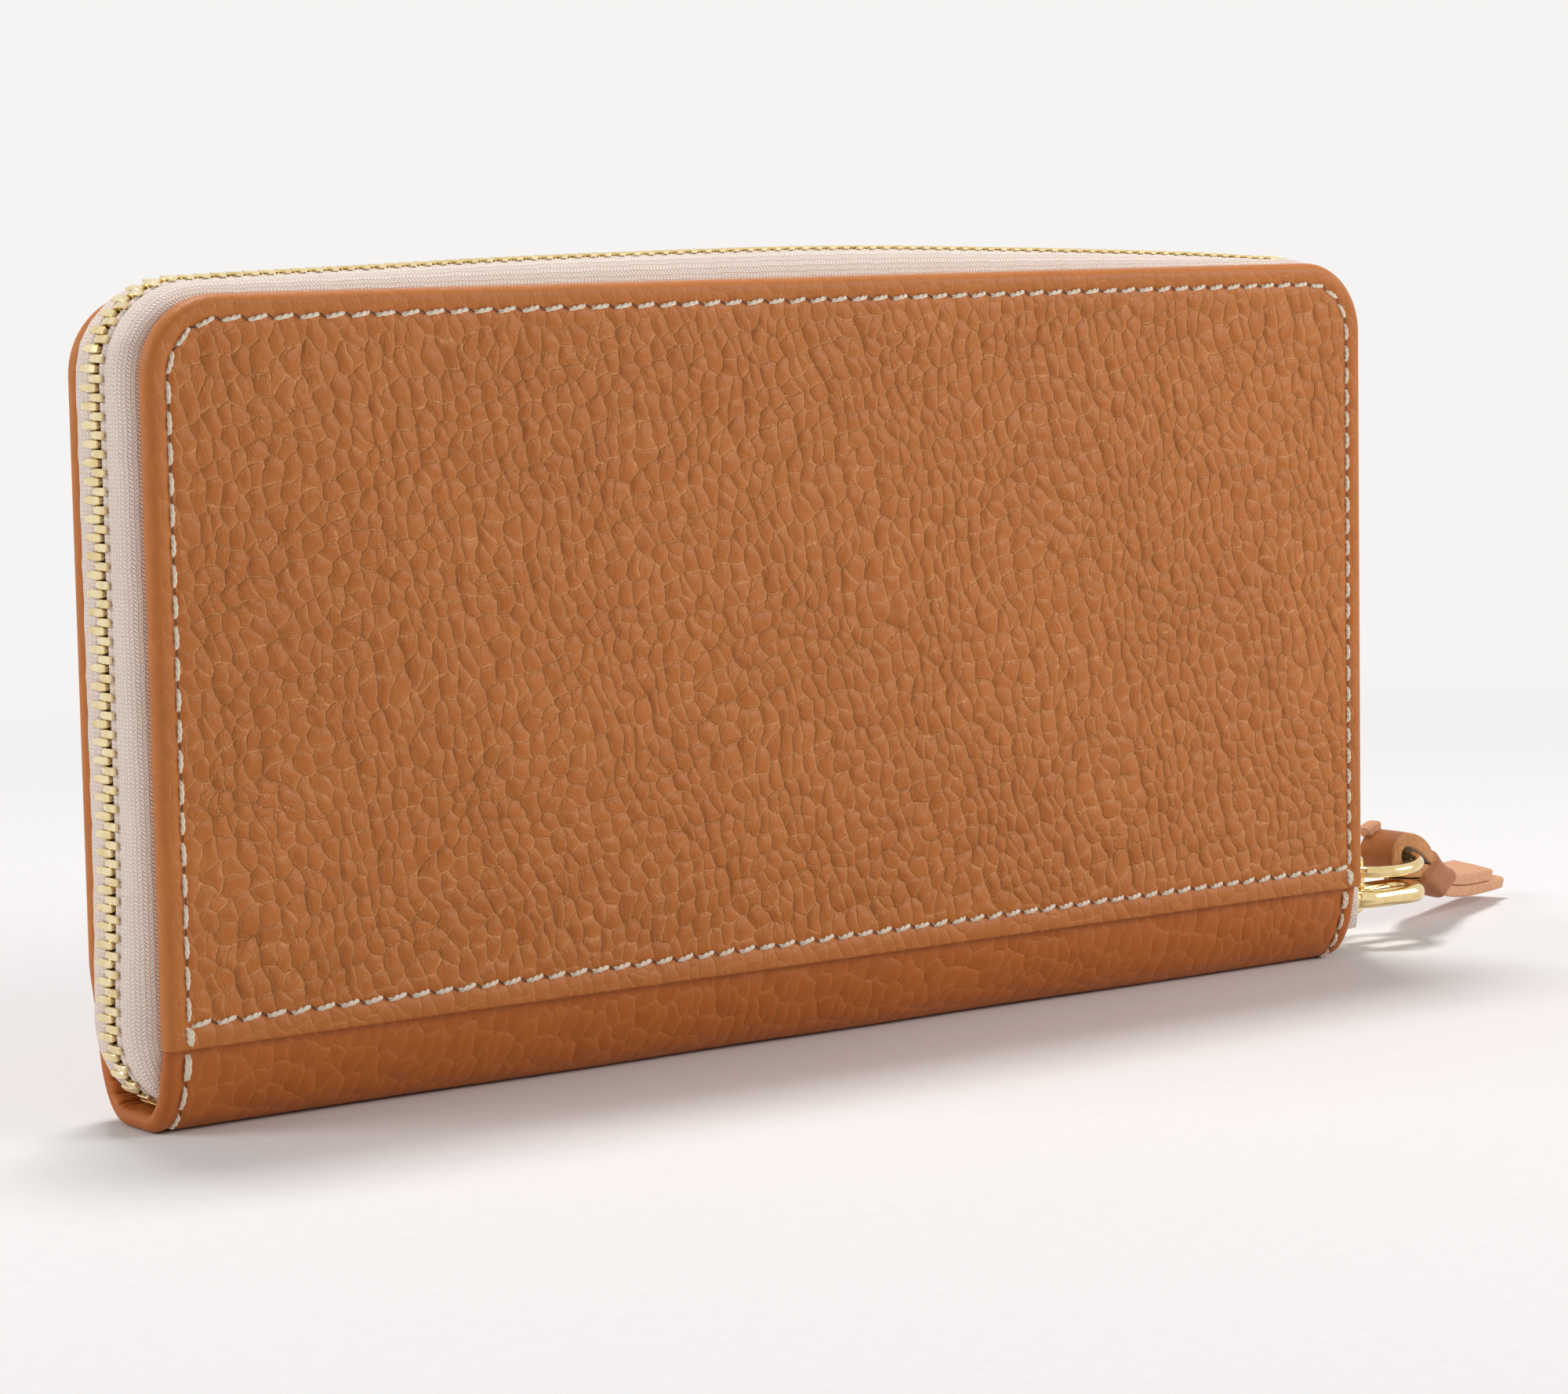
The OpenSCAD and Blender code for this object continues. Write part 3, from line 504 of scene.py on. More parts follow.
def make_stage():
    world = bpy.data.worlds.new("studio")
    scene.world = world
    world.use_nodes = True
    tree = world.node_tree
    tree.nodes.clear()
    fill, paper = (tree.nodes.new("ShaderNodeBackground") for _ in range(2))
    fill.inputs[0].default_value = (0.98, 0.99, 1.0, 1)
    fill.inputs[1].default_value = 0.27
    paper.inputs[0].default_value = PAPER
    mix = tree.nodes.new("ShaderNodeMixShader")
    out = tree.nodes.new("ShaderNodeOutputWorld")
    for i, part in enumerate((seen(tree), fill.outputs[0], paper.outputs[0])):
        tree.links.new(part, mix.inputs[i])
    tree.links.new(mix.outputs[0], out.inputs["Surface"])

    turn = np.arange(96) / 96 * 2 * PI
    radius = np.array([0.001, 0.2, 0.4, 0.6, 0.9, 1.5, 3, 6, 12]) / MM
    shape = Shape()
    shape.grid(stack(np.cos(turn), np.sin(turn), 0.0) * radius[:, None, None], loop_v=True)
    g = Graph("paper sweep")
    grain = g.noise(g.node("TexCoord").outputs["Object"], 420.0, 3.0)
    g.set(Base_Color=g.mix(grain, srgb(229, 227, 227), srgb(235, 233, 233)), Roughness=0.9, Specular_IOR_Level=0.1)
    place = g.node("NewGeometry").outputs["Position"]
    far = g.ease(g.node("VectorMath", {0: place}, operation="LENGTH").outputs["Value"], 0.24, 0.5)
    glow = g.node("Emission", {"Color": PAPER, "Strength": 1.0})
    parts = {0: g.times(far, seen(g.tree)), 1: g.bsdf.outputs[0], 2: glow.outputs[0]}
    mixed = g.node("MixShader", parts)
    g.tree.links.new(mixed.outputs[0], g.out.inputs["Surface"])
    floor = shape.make("paper_floor", g.material, smooth=False)
    floor.location.z = -0.0001


def lamp(name, place, target, size, power, colour=(1, 1, 1)):
    data = bpy.data.lights.new(name, "AREA")
    data.shape, data.size, data.size_y = "RECTANGLE", size[0], size[1]
    data.energy, data.color = power, colour
    light = link(name, data)
    light.location = place
    light.rotation_mode = "QUATERNION"
    light.rotation_quaternion = (Vector(target) - Vector(place)).to_track_quat("-Z", "Y")


make_camera()
make_stage()
lamp("top", (0.06, 0.24, 1.0), (0, 0, 0.03), (0.30, 0.22), 6.4)
lamp("front", (0.60, -0.55, 0.40), (0.04, 0, 0.05), (0.5, 0.4), 4.0, (1.0, 0.98, 0.96))
lamp("left", (-1.0, 0.30, 0.5), (-0.08, 0, 0.05), (0.5, 0.5), 4.8)


# Leather covers


def stations(z_rows, top_step, corner_steps):
    """Points round a cover's edge from the right foot to the left foot, with their outward directions."""
    turn = PI / 2 * np.arange(1, corner_steps) / corner_steps
    cos, sin = np.cos(turn), np.sin(turn)
    columns = np.linspace(CORNER_X, -CORNER_X, round(2 * CORNER_X / top_step) + 1)
    right = stack(HALF_W, z_rows, 1.0, 0.0)
    corner = stack(CORNER_X + CORNER_R * cos, CORNER_Z + CORNER_R * sin, cos, sin)
    top = stack(columns, TOP_Z, 0.0, 1.0)
    left = (np.concatenate([right, corner]) * [-1, 1, -1, 1])[::-1]
    return np.concatenate([right, corner, top, left]), columns


def seam_path():
    """The stitched line round a cover, from the right foot to the left foot, as points 0.1 mm apart."""
    r = CORNER_R - SEAM_IN
    turn = np.linspace(0, PI / 2, 112)
    right = stack(HALF_W - SEAM_IN, np.linspace(SEAM_Z, CORNER_Z, 780))
    corner = stack(CORNER_X + r * np.cos(turn), CORNER_Z + r * np.sin(turn))
    top = stack(np.linspace(CORNER_X, -CORNER_X, 1770), TOP_Z - SEAM_IN)
    line = np.concatenate([right, corner[1:], top[1:], mirrored(corner)[1:], mirrored(right)[1:]])
    return line, lengths(line)


def stitch_marks(total, first, last):
    """Where one stitch ends and the next starts, with the stitch length drifting from first to last."""
    count = round(total / ((first + last) / 2))
    sizes = np.linspace(first, last, count)
    return np.concatenate([[0], np.cumsum(sizes * total / sizes.sum())])


SEAM, SEAM_LENGTH = seam_path()
RIM_MARKS = stitch_marks(SEAM_LENGTH[-1], 2.95, 3.8)
LAP_HALF = HALF_W - SEAM_IN
LAP_MARKS = stitch_marks(2 * LAP_HALF, 3.5, 3.0)


def nearest_mark(s, marks):
    """Distance from the length s to the nearest needle hole."""
    i = np.clip(np.searchsorted(marks, s), 1, len(marks) - 1)
    return np.minimum(np.abs(s - marks[i - 1]), np.abs(s - marks[i]))


def seam_dip(off, to_mark):
    """Depth that the thread pulls into the leather at a distance from the seam and from a needle hole."""
    return 0.20 * bell(off, 0.62) + 0.20 * bell(off, 0.55) * bell(to_mark, 0.5)


def swell(x, z):
    """The slight crown and unevenness of a stuffed leather face."""
    half_w, middle_z, half_h = 97, 57, 45
    u, v = np.clip(np.abs(x) / half_w, 0, 1), np.clip(np.abs(z - middle_z) / half_h, 0, 1)
    crown = 0.34 * (1 - u**4) * (1 - v**3)
    wave = 0.05 * np.sin(x / 13.7 + 0.6 * np.sin(z / 17)) * np.sin(z / 11.3 + 0.8)
    return crown + wave * (1 - u**6) * (1 - v**6)


def face_depth(x, z, n, s):
    """Depth of a cover's outer face at inset -n from its edge and length s along the seam."""
    dip = seam_dip(np.abs(n + SEAM_IN), nearest_mark(s, RIM_MARKS)) * (z > SEAM_Z - 1)
    lap = seam_dip(np.abs(z - SEAM_Z), nearest_mark(x + LAP_HALF, LAP_MARKS))
    lap = lap * smoothstep(LAP_HALF + 0.8 - np.abs(x), 0, 1)
    puff = 0.12 * bell(n + 1.6, 0.9) + 0.10 * bell(z - 12.3, 0.8)
    return FACE + swell(x, z) + puff - np.maximum(dip, lap)


# Rows at a panel's foot: height, share of its thickness, share of its edge's reach
FOOT = np.array([(11.12, 0.02, 0.15), (11.02, 0.3, 0.5), (11.0, 0.7, 0.85), (11.06, 0.92, 0.97), (11.25, 1.0, 1.0)])


def lap_calm(z):
    """How smooth the leather is towards the lapped seam."""
    return 0.75 * smoothstep(17.5 - z, 0, 4)


def make_panel(name, side):
    """The leather of one cover, turned in over its edge."""
    lower = [11.6, 12.1, 12.6, 13.05, 13.4, 13.7, 13.9, 14.1, 14.3, 14.5, 14.8, 15.2, 15.8, 16.6, 17.5]
    z_rows = np.concatenate([FOOT[:, 0], lower, np.linspace(18.4, CORNER_Z, 84)])
    n_side = len(z_rows)
    keep_q, keep_n = np.concatenate([FOOT[:, 1:], np.ones((n_side - len(FOOT), 2))]).T
    if side > 0:
        above = smoothstep(z_rows, 11.0, 20.0)
        keep_q = keep_q * (0.08 + 0.92 * above)
        keep_n = keep_n * (0.5 + 0.5 * above)
    rows, columns = stations(z_rows, 0.9, 16)
    base, out = rows[:, :2], rows[:, 2:]
    between = np.ones(len(rows) - 2 * n_side)
    foot_q, foot_n = (np.concatenate([keep, between, keep[::-1]])[:, None] for keep in (keep_q, keep_n))

    # Length along the seam for each station
    at_seam = base - SEAM_IN * out
    s = np.array([SEAM_LENGTH[np.argmin(((SEAM - p) ** 2).sum(1))] for p in at_seam])

    # The section from the face round the edge to the turned-in flap
    face_n = [-10, -8.6, -7.2, -6, -5, -4.4, -4, -3.7, -3.45, -3.2, -3, -2.8, -2.55, -2.3, -2.0, -1.7, -1.4]
    turn = np.linspace(PI / 2, -PI / 2, 13)[1:]
    edge_r = (FACE - FLAP) / 2
    round_n, round_q = -edge_r + edge_r * np.cos(turn), FLAP + edge_r + edge_r * np.sin(turn)
    flap_n = np.array([-2.4, -3.6, -5.2, -6.6, -7.0])
    arc = np.concatenate([face_n, -edge_r + edge_r * (PI / 2 - turn), -edge_r + edge_r * PI + (-edge_r - flap_n)])
    n = np.concatenate([face_n, round_n, flap_n]) + 0 * foot_n
    n = np.where(n > -edge_r, -edge_r + (n + edge_r) * foot_n, n)
    xz = base[:, None] + out[:, None] * n[..., None]
    x, z = xz[..., 0], xz[..., 1]
    k, m = len(face_n), len(face_n) + len(round_q)
    q = np.empty(n.shape)
    q[:, :k] = face_depth(x[:, :k], z[:, :k], n[:, :k], s[:, None])
    q[:, k:m] = round_q + (q[:, k - 1 : k] - FACE) * np.linspace(1, 0, len(round_q)) ** 2
    q[:, m:] = FLAP + 0.25 * bell(flap_n + 7.0, 0.3)
    q = SKIN + (q - SKIN) * foot_q
    shift = 0 if side < 0 else 700
    flat = base[:, None] + out[:, None] * arc[:, None]
    calm = 0.9 * smoothstep(n, -6.5, -1.8)
    calm[:, k:] = 1.0
    shape = Shape()
    flat = stack(flat[..., 0] + shift, flat[..., 1], 0.0)
    shape.grid(stack(x, q, z), flat, np.maximum(calm, lap_calm(z)), flip=True)

    # The field inside that border
    x, z = np.meshgrid(columns, z_rows)
    q = SKIN + (face_depth(x, z, -30.0, 0.0) - SKIN) * keep_q[:, None]
    shape.grid(stack(x, q, z), stack(x + shift, z, 0.0), lap_calm(z))
    return shape.make(name, TAN, weld=True, side=side)


# Spine wrap


def fold_line(count):
    """The outer line of the wrap's section from the middle of the spine up into one cover, with its normals."""
    flat = stack(np.linspace(0, FOLD_Q, 5)[:-1], 0.0)
    a = np.linspace(-PI / 2, 0, count)
    curve = stack(FOLD_Q + SPINE_R * np.cos(a), SPINE_RISE + SPINE_RISE * np.sin(a))
    wall = stack(SKIN, np.linspace(12.2, 17.0, 5))
    line = np.concatenate([flat, curve, wall])
    return line, -normals(line)


def folds(length, x_end):
    """Small pleats where the turned-in end is gathered round the curve."""
    a = np.sin(length * 2 * PI / 2.1 + 0.9 * np.sin(length * 0.9 + x_end))
    b = np.sin(length * 2 * PI / 1.15 + 1.3 + 0.02 * x_end)
    return 0.55 * a + 0.45 * b


def hem_share(z):
    """How much of its thickness the rolled end keeps where it passes behind a panel."""
    return 1 - 0.42 * smoothstep(z, 8.0, 11.5)


def make_wrap(name, side):
    """Half of the strip round the spine, with its ends rolled in."""
    line, normal = fold_line(40)
    along = lengths(line)[:, None]
    r, end = 1.15, HALF_W - 0.4
    turn = np.linspace(0, PI, 11)
    hem = np.array([0.6, 1.4, 2.4, 3.6, 5.0, 6.4, 7.8, 9.0])
    near = end - np.array([4.6, 4, 3.4, 3.0, 2.7, 2.45, 2.2, 1.9, 1.6])
    middle = np.linspace(5.4 - end, end - 5.4, 108)

    # Half of the strip, from its middle to its rolled end: place, unrolled place, depth and share of the pleats
    half_x = np.concatenate([near, end - r + r * np.sin(turn), end - r - hem])
    half_u = np.concatenate([near, end - r + r * turn, end - r + r * PI + hem])
    half_d = np.concatenate([0 * near, r - r * np.cos(turn), np.full(len(hem), 2 * r)])
    half_p = np.concatenate([np.zeros(len(near) + 7), [0.15, 0.4, 0.7, 1.0], np.linspace(1.1, 1.6, len(hem))])
    x, u = (np.concatenate([-half[::-1], middle, half]) for half in (half_x, half_u))
    depth, pleat = (np.concatenate([half[::-1], 0 * middle, half]) for half in (half_d, half_p))

    bend = bell(along - 8.0, 6.0)
    d = depth * hem_share(line[:, 1:])
    gather = np.where(x < 0, folds(along, -98), folds(along, 98))
    d += pleat * bend * 0.42 * (gather - 0.3)
    d += 0.22 * bell(np.abs(np.abs(u) - LAP_HALF), 0.55) * (depth < 0.5) * (along < 17)
    d -= 0.10 * np.sin(x / 9.0 + np.sin(x / 23)) * bend * (depth < 0.2)
    yz = line[:, None] - normal[:, None] * d[..., None]
    shift = 0 if side < 0 else 900
    calm = np.maximum(smoothstep(np.abs(u), HALF_W - 7, HALF_W - 3), 0.45) + 0 * d
    shape = Shape()
    shape.grid(stack(x, yz[..., 0], yz[..., 1]), stack(u + shift, along + 300, 0.0), calm, flip=True)
    return shape.make(name, SHADED_WRAP, side=side)


def bend_with(piece, cover):
    """Bakes the transform of a piece on the spine's fold into its mesh; the cover is not used."""
    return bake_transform(piece)


# Stitches


def stitch(shape, marks, a, b, up, radius=0.31, phase=0.0):
    """Two twisted strands from hole to hole, rising out of the leather and back."""
    a, b, up = (np.asarray(p, float) for p in (a, b, up))
    along = b - a
    side = np.cross(up, along)
    side /= np.linalg.norm(side)
    turns, sunk = 1.5, 0.26
    t = np.linspace(0.0, 1.0, 11)
    arch = np.sin(PI * t) ** 0.4
    middle = a + along * t[:, None] + up * (2 * sunk * arch - sunk)[:, None]
    slim = radius * (0.6 + 0.4 * arch)
    for k in (0, 1):
        angle = phase + (k + turns * t * 2) * PI
        off = side * np.cos(angle)[:, None] + up * np.sin(angle)[:, None]
        shape.tube(middle + off * (slim * 0.38)[:, None], slim * 0.7, sides=7, up=side + 0.3 * up)
    if marks is not None:
        marks.append((a, b, up))


def shaded_needle_slits(shape, ends):
    """Dark slits from the end of each stitch to the start of the next: painted shade of the needle holes."""
    shortest, longest, half_w, raised = 0.05, 2.2, 0.12, 0.16
    turn = np.arange(12) / 12 * 2 * PI
    for (_, p, up), (q, _, _) in pairwise(ends):
        reach = np.linalg.norm(q - p)
        if reach > longest or reach < shortest:
            continue
        along = (q - p) / reach
        side = np.cross(up, along)
        ring = np.outer(np.cos(turn), along) * (reach / 2 + 0.1) + np.outer(np.sin(turn), side) * half_w
        shape.add((p + q) / 2 + ring + up * raised, [list(range(len(turn)))])


def sewn(shape, holes, prefix, side):
    """The thread of some seams, and the painted shade of the needle holes between their stitches."""
    thread = shape.make(prefix + "stitches", THREAD, side=side)
    return thread, holes.make(prefix + "needle_hole_shade", HOLE, smooth=False, side=side)


def make_cover_stitches(cover):
    side = COVERS[cover]
    rng = np.random.default_rng(11 if side < 0 else 23)
    shape, holes = Shape(), Shape()
    out = np.array([0.0, 1.0, 0.0])
    gap, sunk = 0.4, 0.26

    def point(s):
        x, z = SEAM[min(np.searchsorted(SEAM_LENGTH, s), len(SEAM) - 1)]
        return np.array([x, FACE + swell(x, z) - sunk, z])

    ends = []
    for s0, s1 in pairwise(RIM_MARKS):
        a, b = point(s0 + gap), point(s1 - gap)
        level = abs(b[0] - a[0]) / np.linalg.norm(b - a)
        lean = math.radians(10 * level + rng.normal(0, 1.6))
        turn = np.array([[math.cos(lean), 0, -math.sin(lean)], [0, 1, 0], [math.sin(lean), 0, math.cos(lean)]])
        middle = (a + b) / 2
        stitch(shape, ends, middle + turn @ (a - middle), middle + turn @ (b - middle), out, phase=rng.uniform(0, 6))
    shaded_needle_slits(holes, ends)
    ends = []
    for s0, s1 in pairwise(LAP_MARKS):
        x0, x1 = s0 + gap - LAP_HALF, s1 - gap - LAP_HALF
        lean = 0.27 + rng.normal(0, 0.05)
        q = FACE + swell((x0 + x1) / 2, SEAM_Z) - sunk
        stitch(shape, ends, (x0, q, SEAM_Z - lean), (x1, q, SEAM_Z + lean), out, 0.35, phase=rng.uniform(0, 6))
    shaded_needle_slits(holes, ends)

    # Two stitches down over the edge at each end of the lap
    for x in (-LAP_HALF, LAP_HALF):
        for z0, z1, dx in ((13.7, 11.5, -0.2), (13.6, 11.4, 0.28)):
            stitch(shape, None, (x + dx, FACE - 0.15, z0), (x + dx * 0.4, FACE - 0.15, z1), out, 0.38)
    for piece in sewn(shape, holes, cover + "_", side):
        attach(piece, cover + "_cover")


def make_fold_stitches(cover):
    """The end rows carried on round the fold, below the lapped seam."""
    side = COVERS[cover]
    rng = np.random.default_rng(31 if side < 0 else 37)
    line, normal = fold_line(60)
    length = lengths(line)
    top_z, gaps, press = 10.6, (0.4, 0.35), 0.42
    top = np.interp(top_z, line[:, 1][4:], length[4:])
    shape, holes = Shape(), Shape()
    for x, count in ((-LAP_HALF, 4), (LAP_HALF, 5)):
        edges = np.linspace(0, top, count + 1)
        marks = []
        for k, (s0, s1) in enumerate(pairwise(edges)):
            at = [s0 + gaps[0], s1 - gaps[1]]
            places, outs = (stack(*(np.interp(at, length, row) for row in rows.T)) for rows in (line, normal))
            up = outs[0] + outs[1]
            up = np.array([0, up[0], up[1]]) / np.linalg.norm(up)
            dx = rng.normal(0, 0.08)
            a, b = (np.array([x + w, *p]) for p, w in zip(places - outs * 0.2, (dx, dx + 0.12)))
            sag = ((b - a) ** 2).sum() / 8 / 9.0
            if k == 0:
                sag -= press  # the wallet stands on these stitches, which presses them in
            stitch(shape, marks, a + up * sag, b + up * sag, up, phase=rng.uniform(0, 6))
            if k == count - 1:
                stitch(shape, None, a + [0.34, 0, 0] + up * sag, b + [0.3, 0, 0] + up * (sag + 0.12), up)
        shaded_needle_slits(holes, marks)
    for piece in sewn(shape, holes, cover + "_fold_", side):
        bend_with(piece, cover)


for cover, side in COVERS.items():
    settle(make_panel(cover + "_panel_leather", side), "leather", cover + "_panel", body=cover + "_cover")
    wrap = make_wrap(cover + "_wrap_leather", side)
    bend_with(settle(wrap, "leather", cover + "_wrap", "spine_base"), cover)
    make_cover_stitches(cover)
    make_fold_stitches(cover)
    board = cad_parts[cover + "_board"].data
    board.materials.clear()
    board.materials.append(board_material())


# Zip


RUN_TOP = np.array([CORNER_X + CHAIN_R * math.cos(FLARE), CORNER_Z + CHAIN_R * math.sin(FLARE)])
RUN_L = (RUN_TOP[1] - RIGHT_END_Z) / math.cos(FLARE)
S_TOP = RUN_L + CHAIN_R * (PI / 2 - FLARE)
S_ARC_LEFT = S_TOP + 2 * CORNER_X
S_LEFT = S_ARC_LEFT + CHAIN_R * PI / 2
S_END = S_LEFT + CORNER_Z - LEFT_END_Z
CURL_L = CURL_R * math.radians(CURL_DEG)
S_LOW, S_LOW_TEETH = S_END - 17.5, S_END - 20  # where the stretches that bend start
SLIDER_S = (SLIDER_Z - RIGHT_END_Z) / math.cos(FLARE)
FIRST_IN = SLIDER_L / 2 - SLIDER_WALL - POST_L - TOOTH_T  # from the slider's middle to the first tooth
FIRST_S = SLIDER_S - FIRST_IN


def chain_at(s):
    """Place of the chain's middle in X and Z at the length s, and the angle of its outward direction."""
    if s < RUN_L:
        b = RUN_L - s
        return RUN_TOP[0] + b * math.sin(FLARE), RUN_TOP[1] - b * math.cos(FLARE), FLARE
    if s < S_TOP:
        a = FLARE + (s - RUN_L) / CHAIN_R
        return CORNER_X + CHAIN_R * math.cos(a), CORNER_Z + CHAIN_R * math.sin(a), a
    if s < S_ARC_LEFT:
        return CORNER_X - (s - S_TOP), TOP_Z + PROUD, PI / 2
    if s < S_LEFT:
        a = PI / 2 + (s - S_ARC_LEFT) / CHAIN_R
        return -CORNER_X + CHAIN_R * math.cos(a), CORNER_Z + CHAIN_R * math.sin(a), a
    if s < S_END:
        return -HALF_W - PROUD, CORNER_Z - (s - S_LEFT), PI
    a = PI + (s - S_END) / CURL_R
    return -HALF_W - PROUD + CURL_R + CURL_R * math.cos(a), LEFT_END_Z + CURL_R * math.sin(a), a


# How far the chain bows out: by X along the top, by length elsewhere
TOP_BOW = [(75, -0.1), (63, 0.4), (50, 0.9), (35, 1.4), (20, 1.85), (5, 2.05)]
TOP_BOW += [(-10, 1.95), (-30, 1.7), (-45, 1.4), (-60, 0.95), (-78, 0.5)]
BOW = [(RUN_L, 0), (S_TOP - 8, -0.8), (S_TOP, -1.0)] + [(S_TOP + CORNER_X - x, up) for x, up in TOP_BOW]
BOW += [(S_ARC_LEFT, 0.15), (S_LEFT, 0), (S_END - 22, 0.0), (S_END - 12, 0.35), (S_END - 2, 0.9), (S_END + 4, 0.65)]
BOW += [(S_END + CURL_L, 0.0)]
BOW_FINE = np.arange(0, S_END + CURL_L, 0.5)
BOW_SOFT = np.interp(BOW_FINE, *zip(*BOW))
soften(BOW_SOFT, 60)


def bow(s):
    """How far the soft tapes let the chain bow out from its line at the length s."""
    return float(np.interp(s, BOW_FINE, BOW_SOFT))


def tape_section():
    """Points of one tape's section as outward distance and depth: outer side, cord, inner side."""
    t, cord_r, bend_r, flange_q = TAPE_HALF, 0.5, 2.8, 7.0
    bend_n, bend_q = PROUD - bend_r, flange_q - bend_r
    a = np.linspace(PI / 2, 0, 9)
    flange = np.linspace(-7, bend_n, 5)[:-1]
    outer = [(n, flange_q + t) for n in flange]
    outer += [(bend_n + (bend_r + t) * math.cos(w), bend_q + (bend_r + t) * math.sin(w)) for w in a]
    outer += [(PROUD + t + 0.05, 3.6), (PROUD + t + 0.06, 3.0), (PROUD + t, 2.55)]
    cord = [(PROUD + cord_r * math.cos(w), 1.78 - 0.72 * math.sin(w)) for w in np.linspace(-0.9, PI + 0.9, 13)]
    inner = [(PROUD - t, 2.55), (PROUD - t, 3.0), (PROUD - t, 3.6)]
    inner += [(bend_n + (bend_r - t) * math.cos(w), bend_q + (bend_r - t) * math.sin(w)) for w in a[::-1]]
    inner += [(n, flange_q - t) for n in flange[::-1]]
    return np.array(outer + cord + inner)


def room_in_fold():
    """Depth left for the tapes inside the turned-in ends of the wrap, by height."""
    line, normal = fold_line(60)
    inner = line - normal * (2.3 * hem_share(line[:, 1]) + 0.2)[:, None]
    keep = np.concatenate([[True], np.diff(inner[:, 1]) > 1e-4])
    return inner[keep][:, 1], inner[keep][:, 0]


def make_tape(name, cover, s0, s1):
    count = max(8, round((s1 - s0) / 1.5))
    section = tape_section()
    w = lengths(section)
    room = room_in_fold()
    along = np.linspace(s0, s1, count)
    rows = []
    for s in along:
        x, z, a = chain_at(s)
        ripple = 0.05 * math.sin(s * 0.9) + 0.04 * math.sin(s * 2.3 + 1)
        n = section[:, 0] - PROUD + ripple * np.clip((section[:, 1] - 2) / 3, 0, 1)
        n = n + bow(s) * (1 - smoothstep(section[:, 1], 3.6, 7.2))
        height = z + n * math.sin(a)
        q = np.minimum(section[:, 1], np.where(height < 14, np.interp(height, *room), 9.0))
        rows.append(stack(x + n * math.cos(a), q, height))
    shape = Shape()
    shape.grid(rows, stack(along[:, None], w, 0.0), loop_v=True)
    shape.caps(0, count, len(section), flip=True)
    piece = shape.make(name, TAPE, side=COVERS[cover], sharp=50)
    return piece


def tooth_loops(scale=1.0):
    """Section loops of one bevelled tooth: legs round the cord, head past the middle."""
    bevel, half = 0.13, TOOTH_T / 2
    right = np.array([(0.55, 2.5), (0.86, 2.5), (1, 2.36), (1, 0.45), (0.97, 0.25), (0.76, -0.62), (0.66, -0.7)])
    outline = np.concatenate([right, mirrored(right), [(-0.55, 1.05), (0.55, 1.05)]])
    nxt, prv = np.roll(outline, -1, 0), np.roll(outline, 1, 0)

    def left(d):
        d = d / np.linalg.norm(d, axis=1)[:, None]
        return stack(-d[:, 1], d[:, 0])

    a, b = left(outline - prv), left(nxt - outline)
    m = (a + b) / (1 + (a * b).sum(1))[:, None]
    area = (outline[:, 0] * nxt[:, 1] - nxt[:, 0] * outline[:, 1]).sum()
    inset = outline + m * bevel * (1 if area > 0 else -1)
    loops = [(inset, -half), (outline, -half + bevel), (outline, half - bevel), (inset, half)]
    return [stack(o[:, 0], o[:, 1], z) * scale for o, z in loops]


TOOTH = tooth_loops()


def add_tooth(shape, x, z, angle, side, loops):
    """One tooth whose outward direction is at the angle, in the covers' depth axis."""
    c, s = math.cos(angle), math.sin(angle)
    start = shape.size
    rows = [stack(x + n * c - t * s, q * side, z + n * s + t * c) for n, q, t in (loop.T for loop in loops)]
    shape.grid(rows, loop_v=True, flip=side < 0)
    shape.caps(start, len(loops), len(loops[0]), flip=side > 0)


def make_teeth(name, side, s0, s1):
    """The teeth of one row between two lengths; the front row is half a pitch on from the back one."""
    start = FIRST_S + (PITCH / 2 if side < 0 else 0.0)
    first, last = math.ceil((s0 - start) / PITCH), math.floor((s1 - start) / PITCH)
    shape = Shape()
    for i in range(first, last + 1):
        s = start + i * PITCH
        x, z, a = chain_at(s)
        out = bow(s)
        add_tooth(shape, x + out * math.cos(a), z + out * math.sin(a), a, side, TOOTH)
    return shape.make(name, TEETH, sharp=35)


def bend_low(piece, cover):
    """Bakes the transform of the lowest stretch of zip at the closed end into its mesh; the cover is not used."""
    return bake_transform(piece)


for cover, side in COVERS.items():
    body = cover + "_cover"
    settle(make_tape(cover + "_tape_cloth", cover, 0.0, S_LOW), "tape", cover + "_zip_tape", body=body)
    low_tape = make_tape(cover + "_tape_low_cloth", cover, S_LOW, S_END + CURL_L)
    bend_low(settle(low_tape, "tape", "zip_end_tape"), cover)
    top = make_teeth(cover + "_teeth_top", side, RUN_L, S_LOW_TEETH - CLEAR)
    settle(top, "gold", cover + "_zip_teeth", body=body)
    right = make_teeth(cover + "_teeth_run", side, FIRST_S, RUN_L - CLEAR)
    settle(right, "gold", cover + "_zip_teeth_right", body=body)
    low_teeth = make_teeth(cover + "_teeth_low", side, S_LOW_TEETH, S_END + CURL_L - 1.9)
    bend_low(settle(low_teeth, "gold", cover + "_zip_teeth_low", "zip_end_teeth"), cover)
    bevelled(cover + "_top_stop", cover + "_stop_metal", body, 0.12)

bevelled("zip_bottom_stop", "bottom_stop_metal", "spine", 0.15)
bevelled("zip_slider_body", "slider_metal", "zip_slider", 0.22)
bevelled("zip_slider_bail", "slider_bail_metal", "zip_slider", 0.32, 4)


# Pull

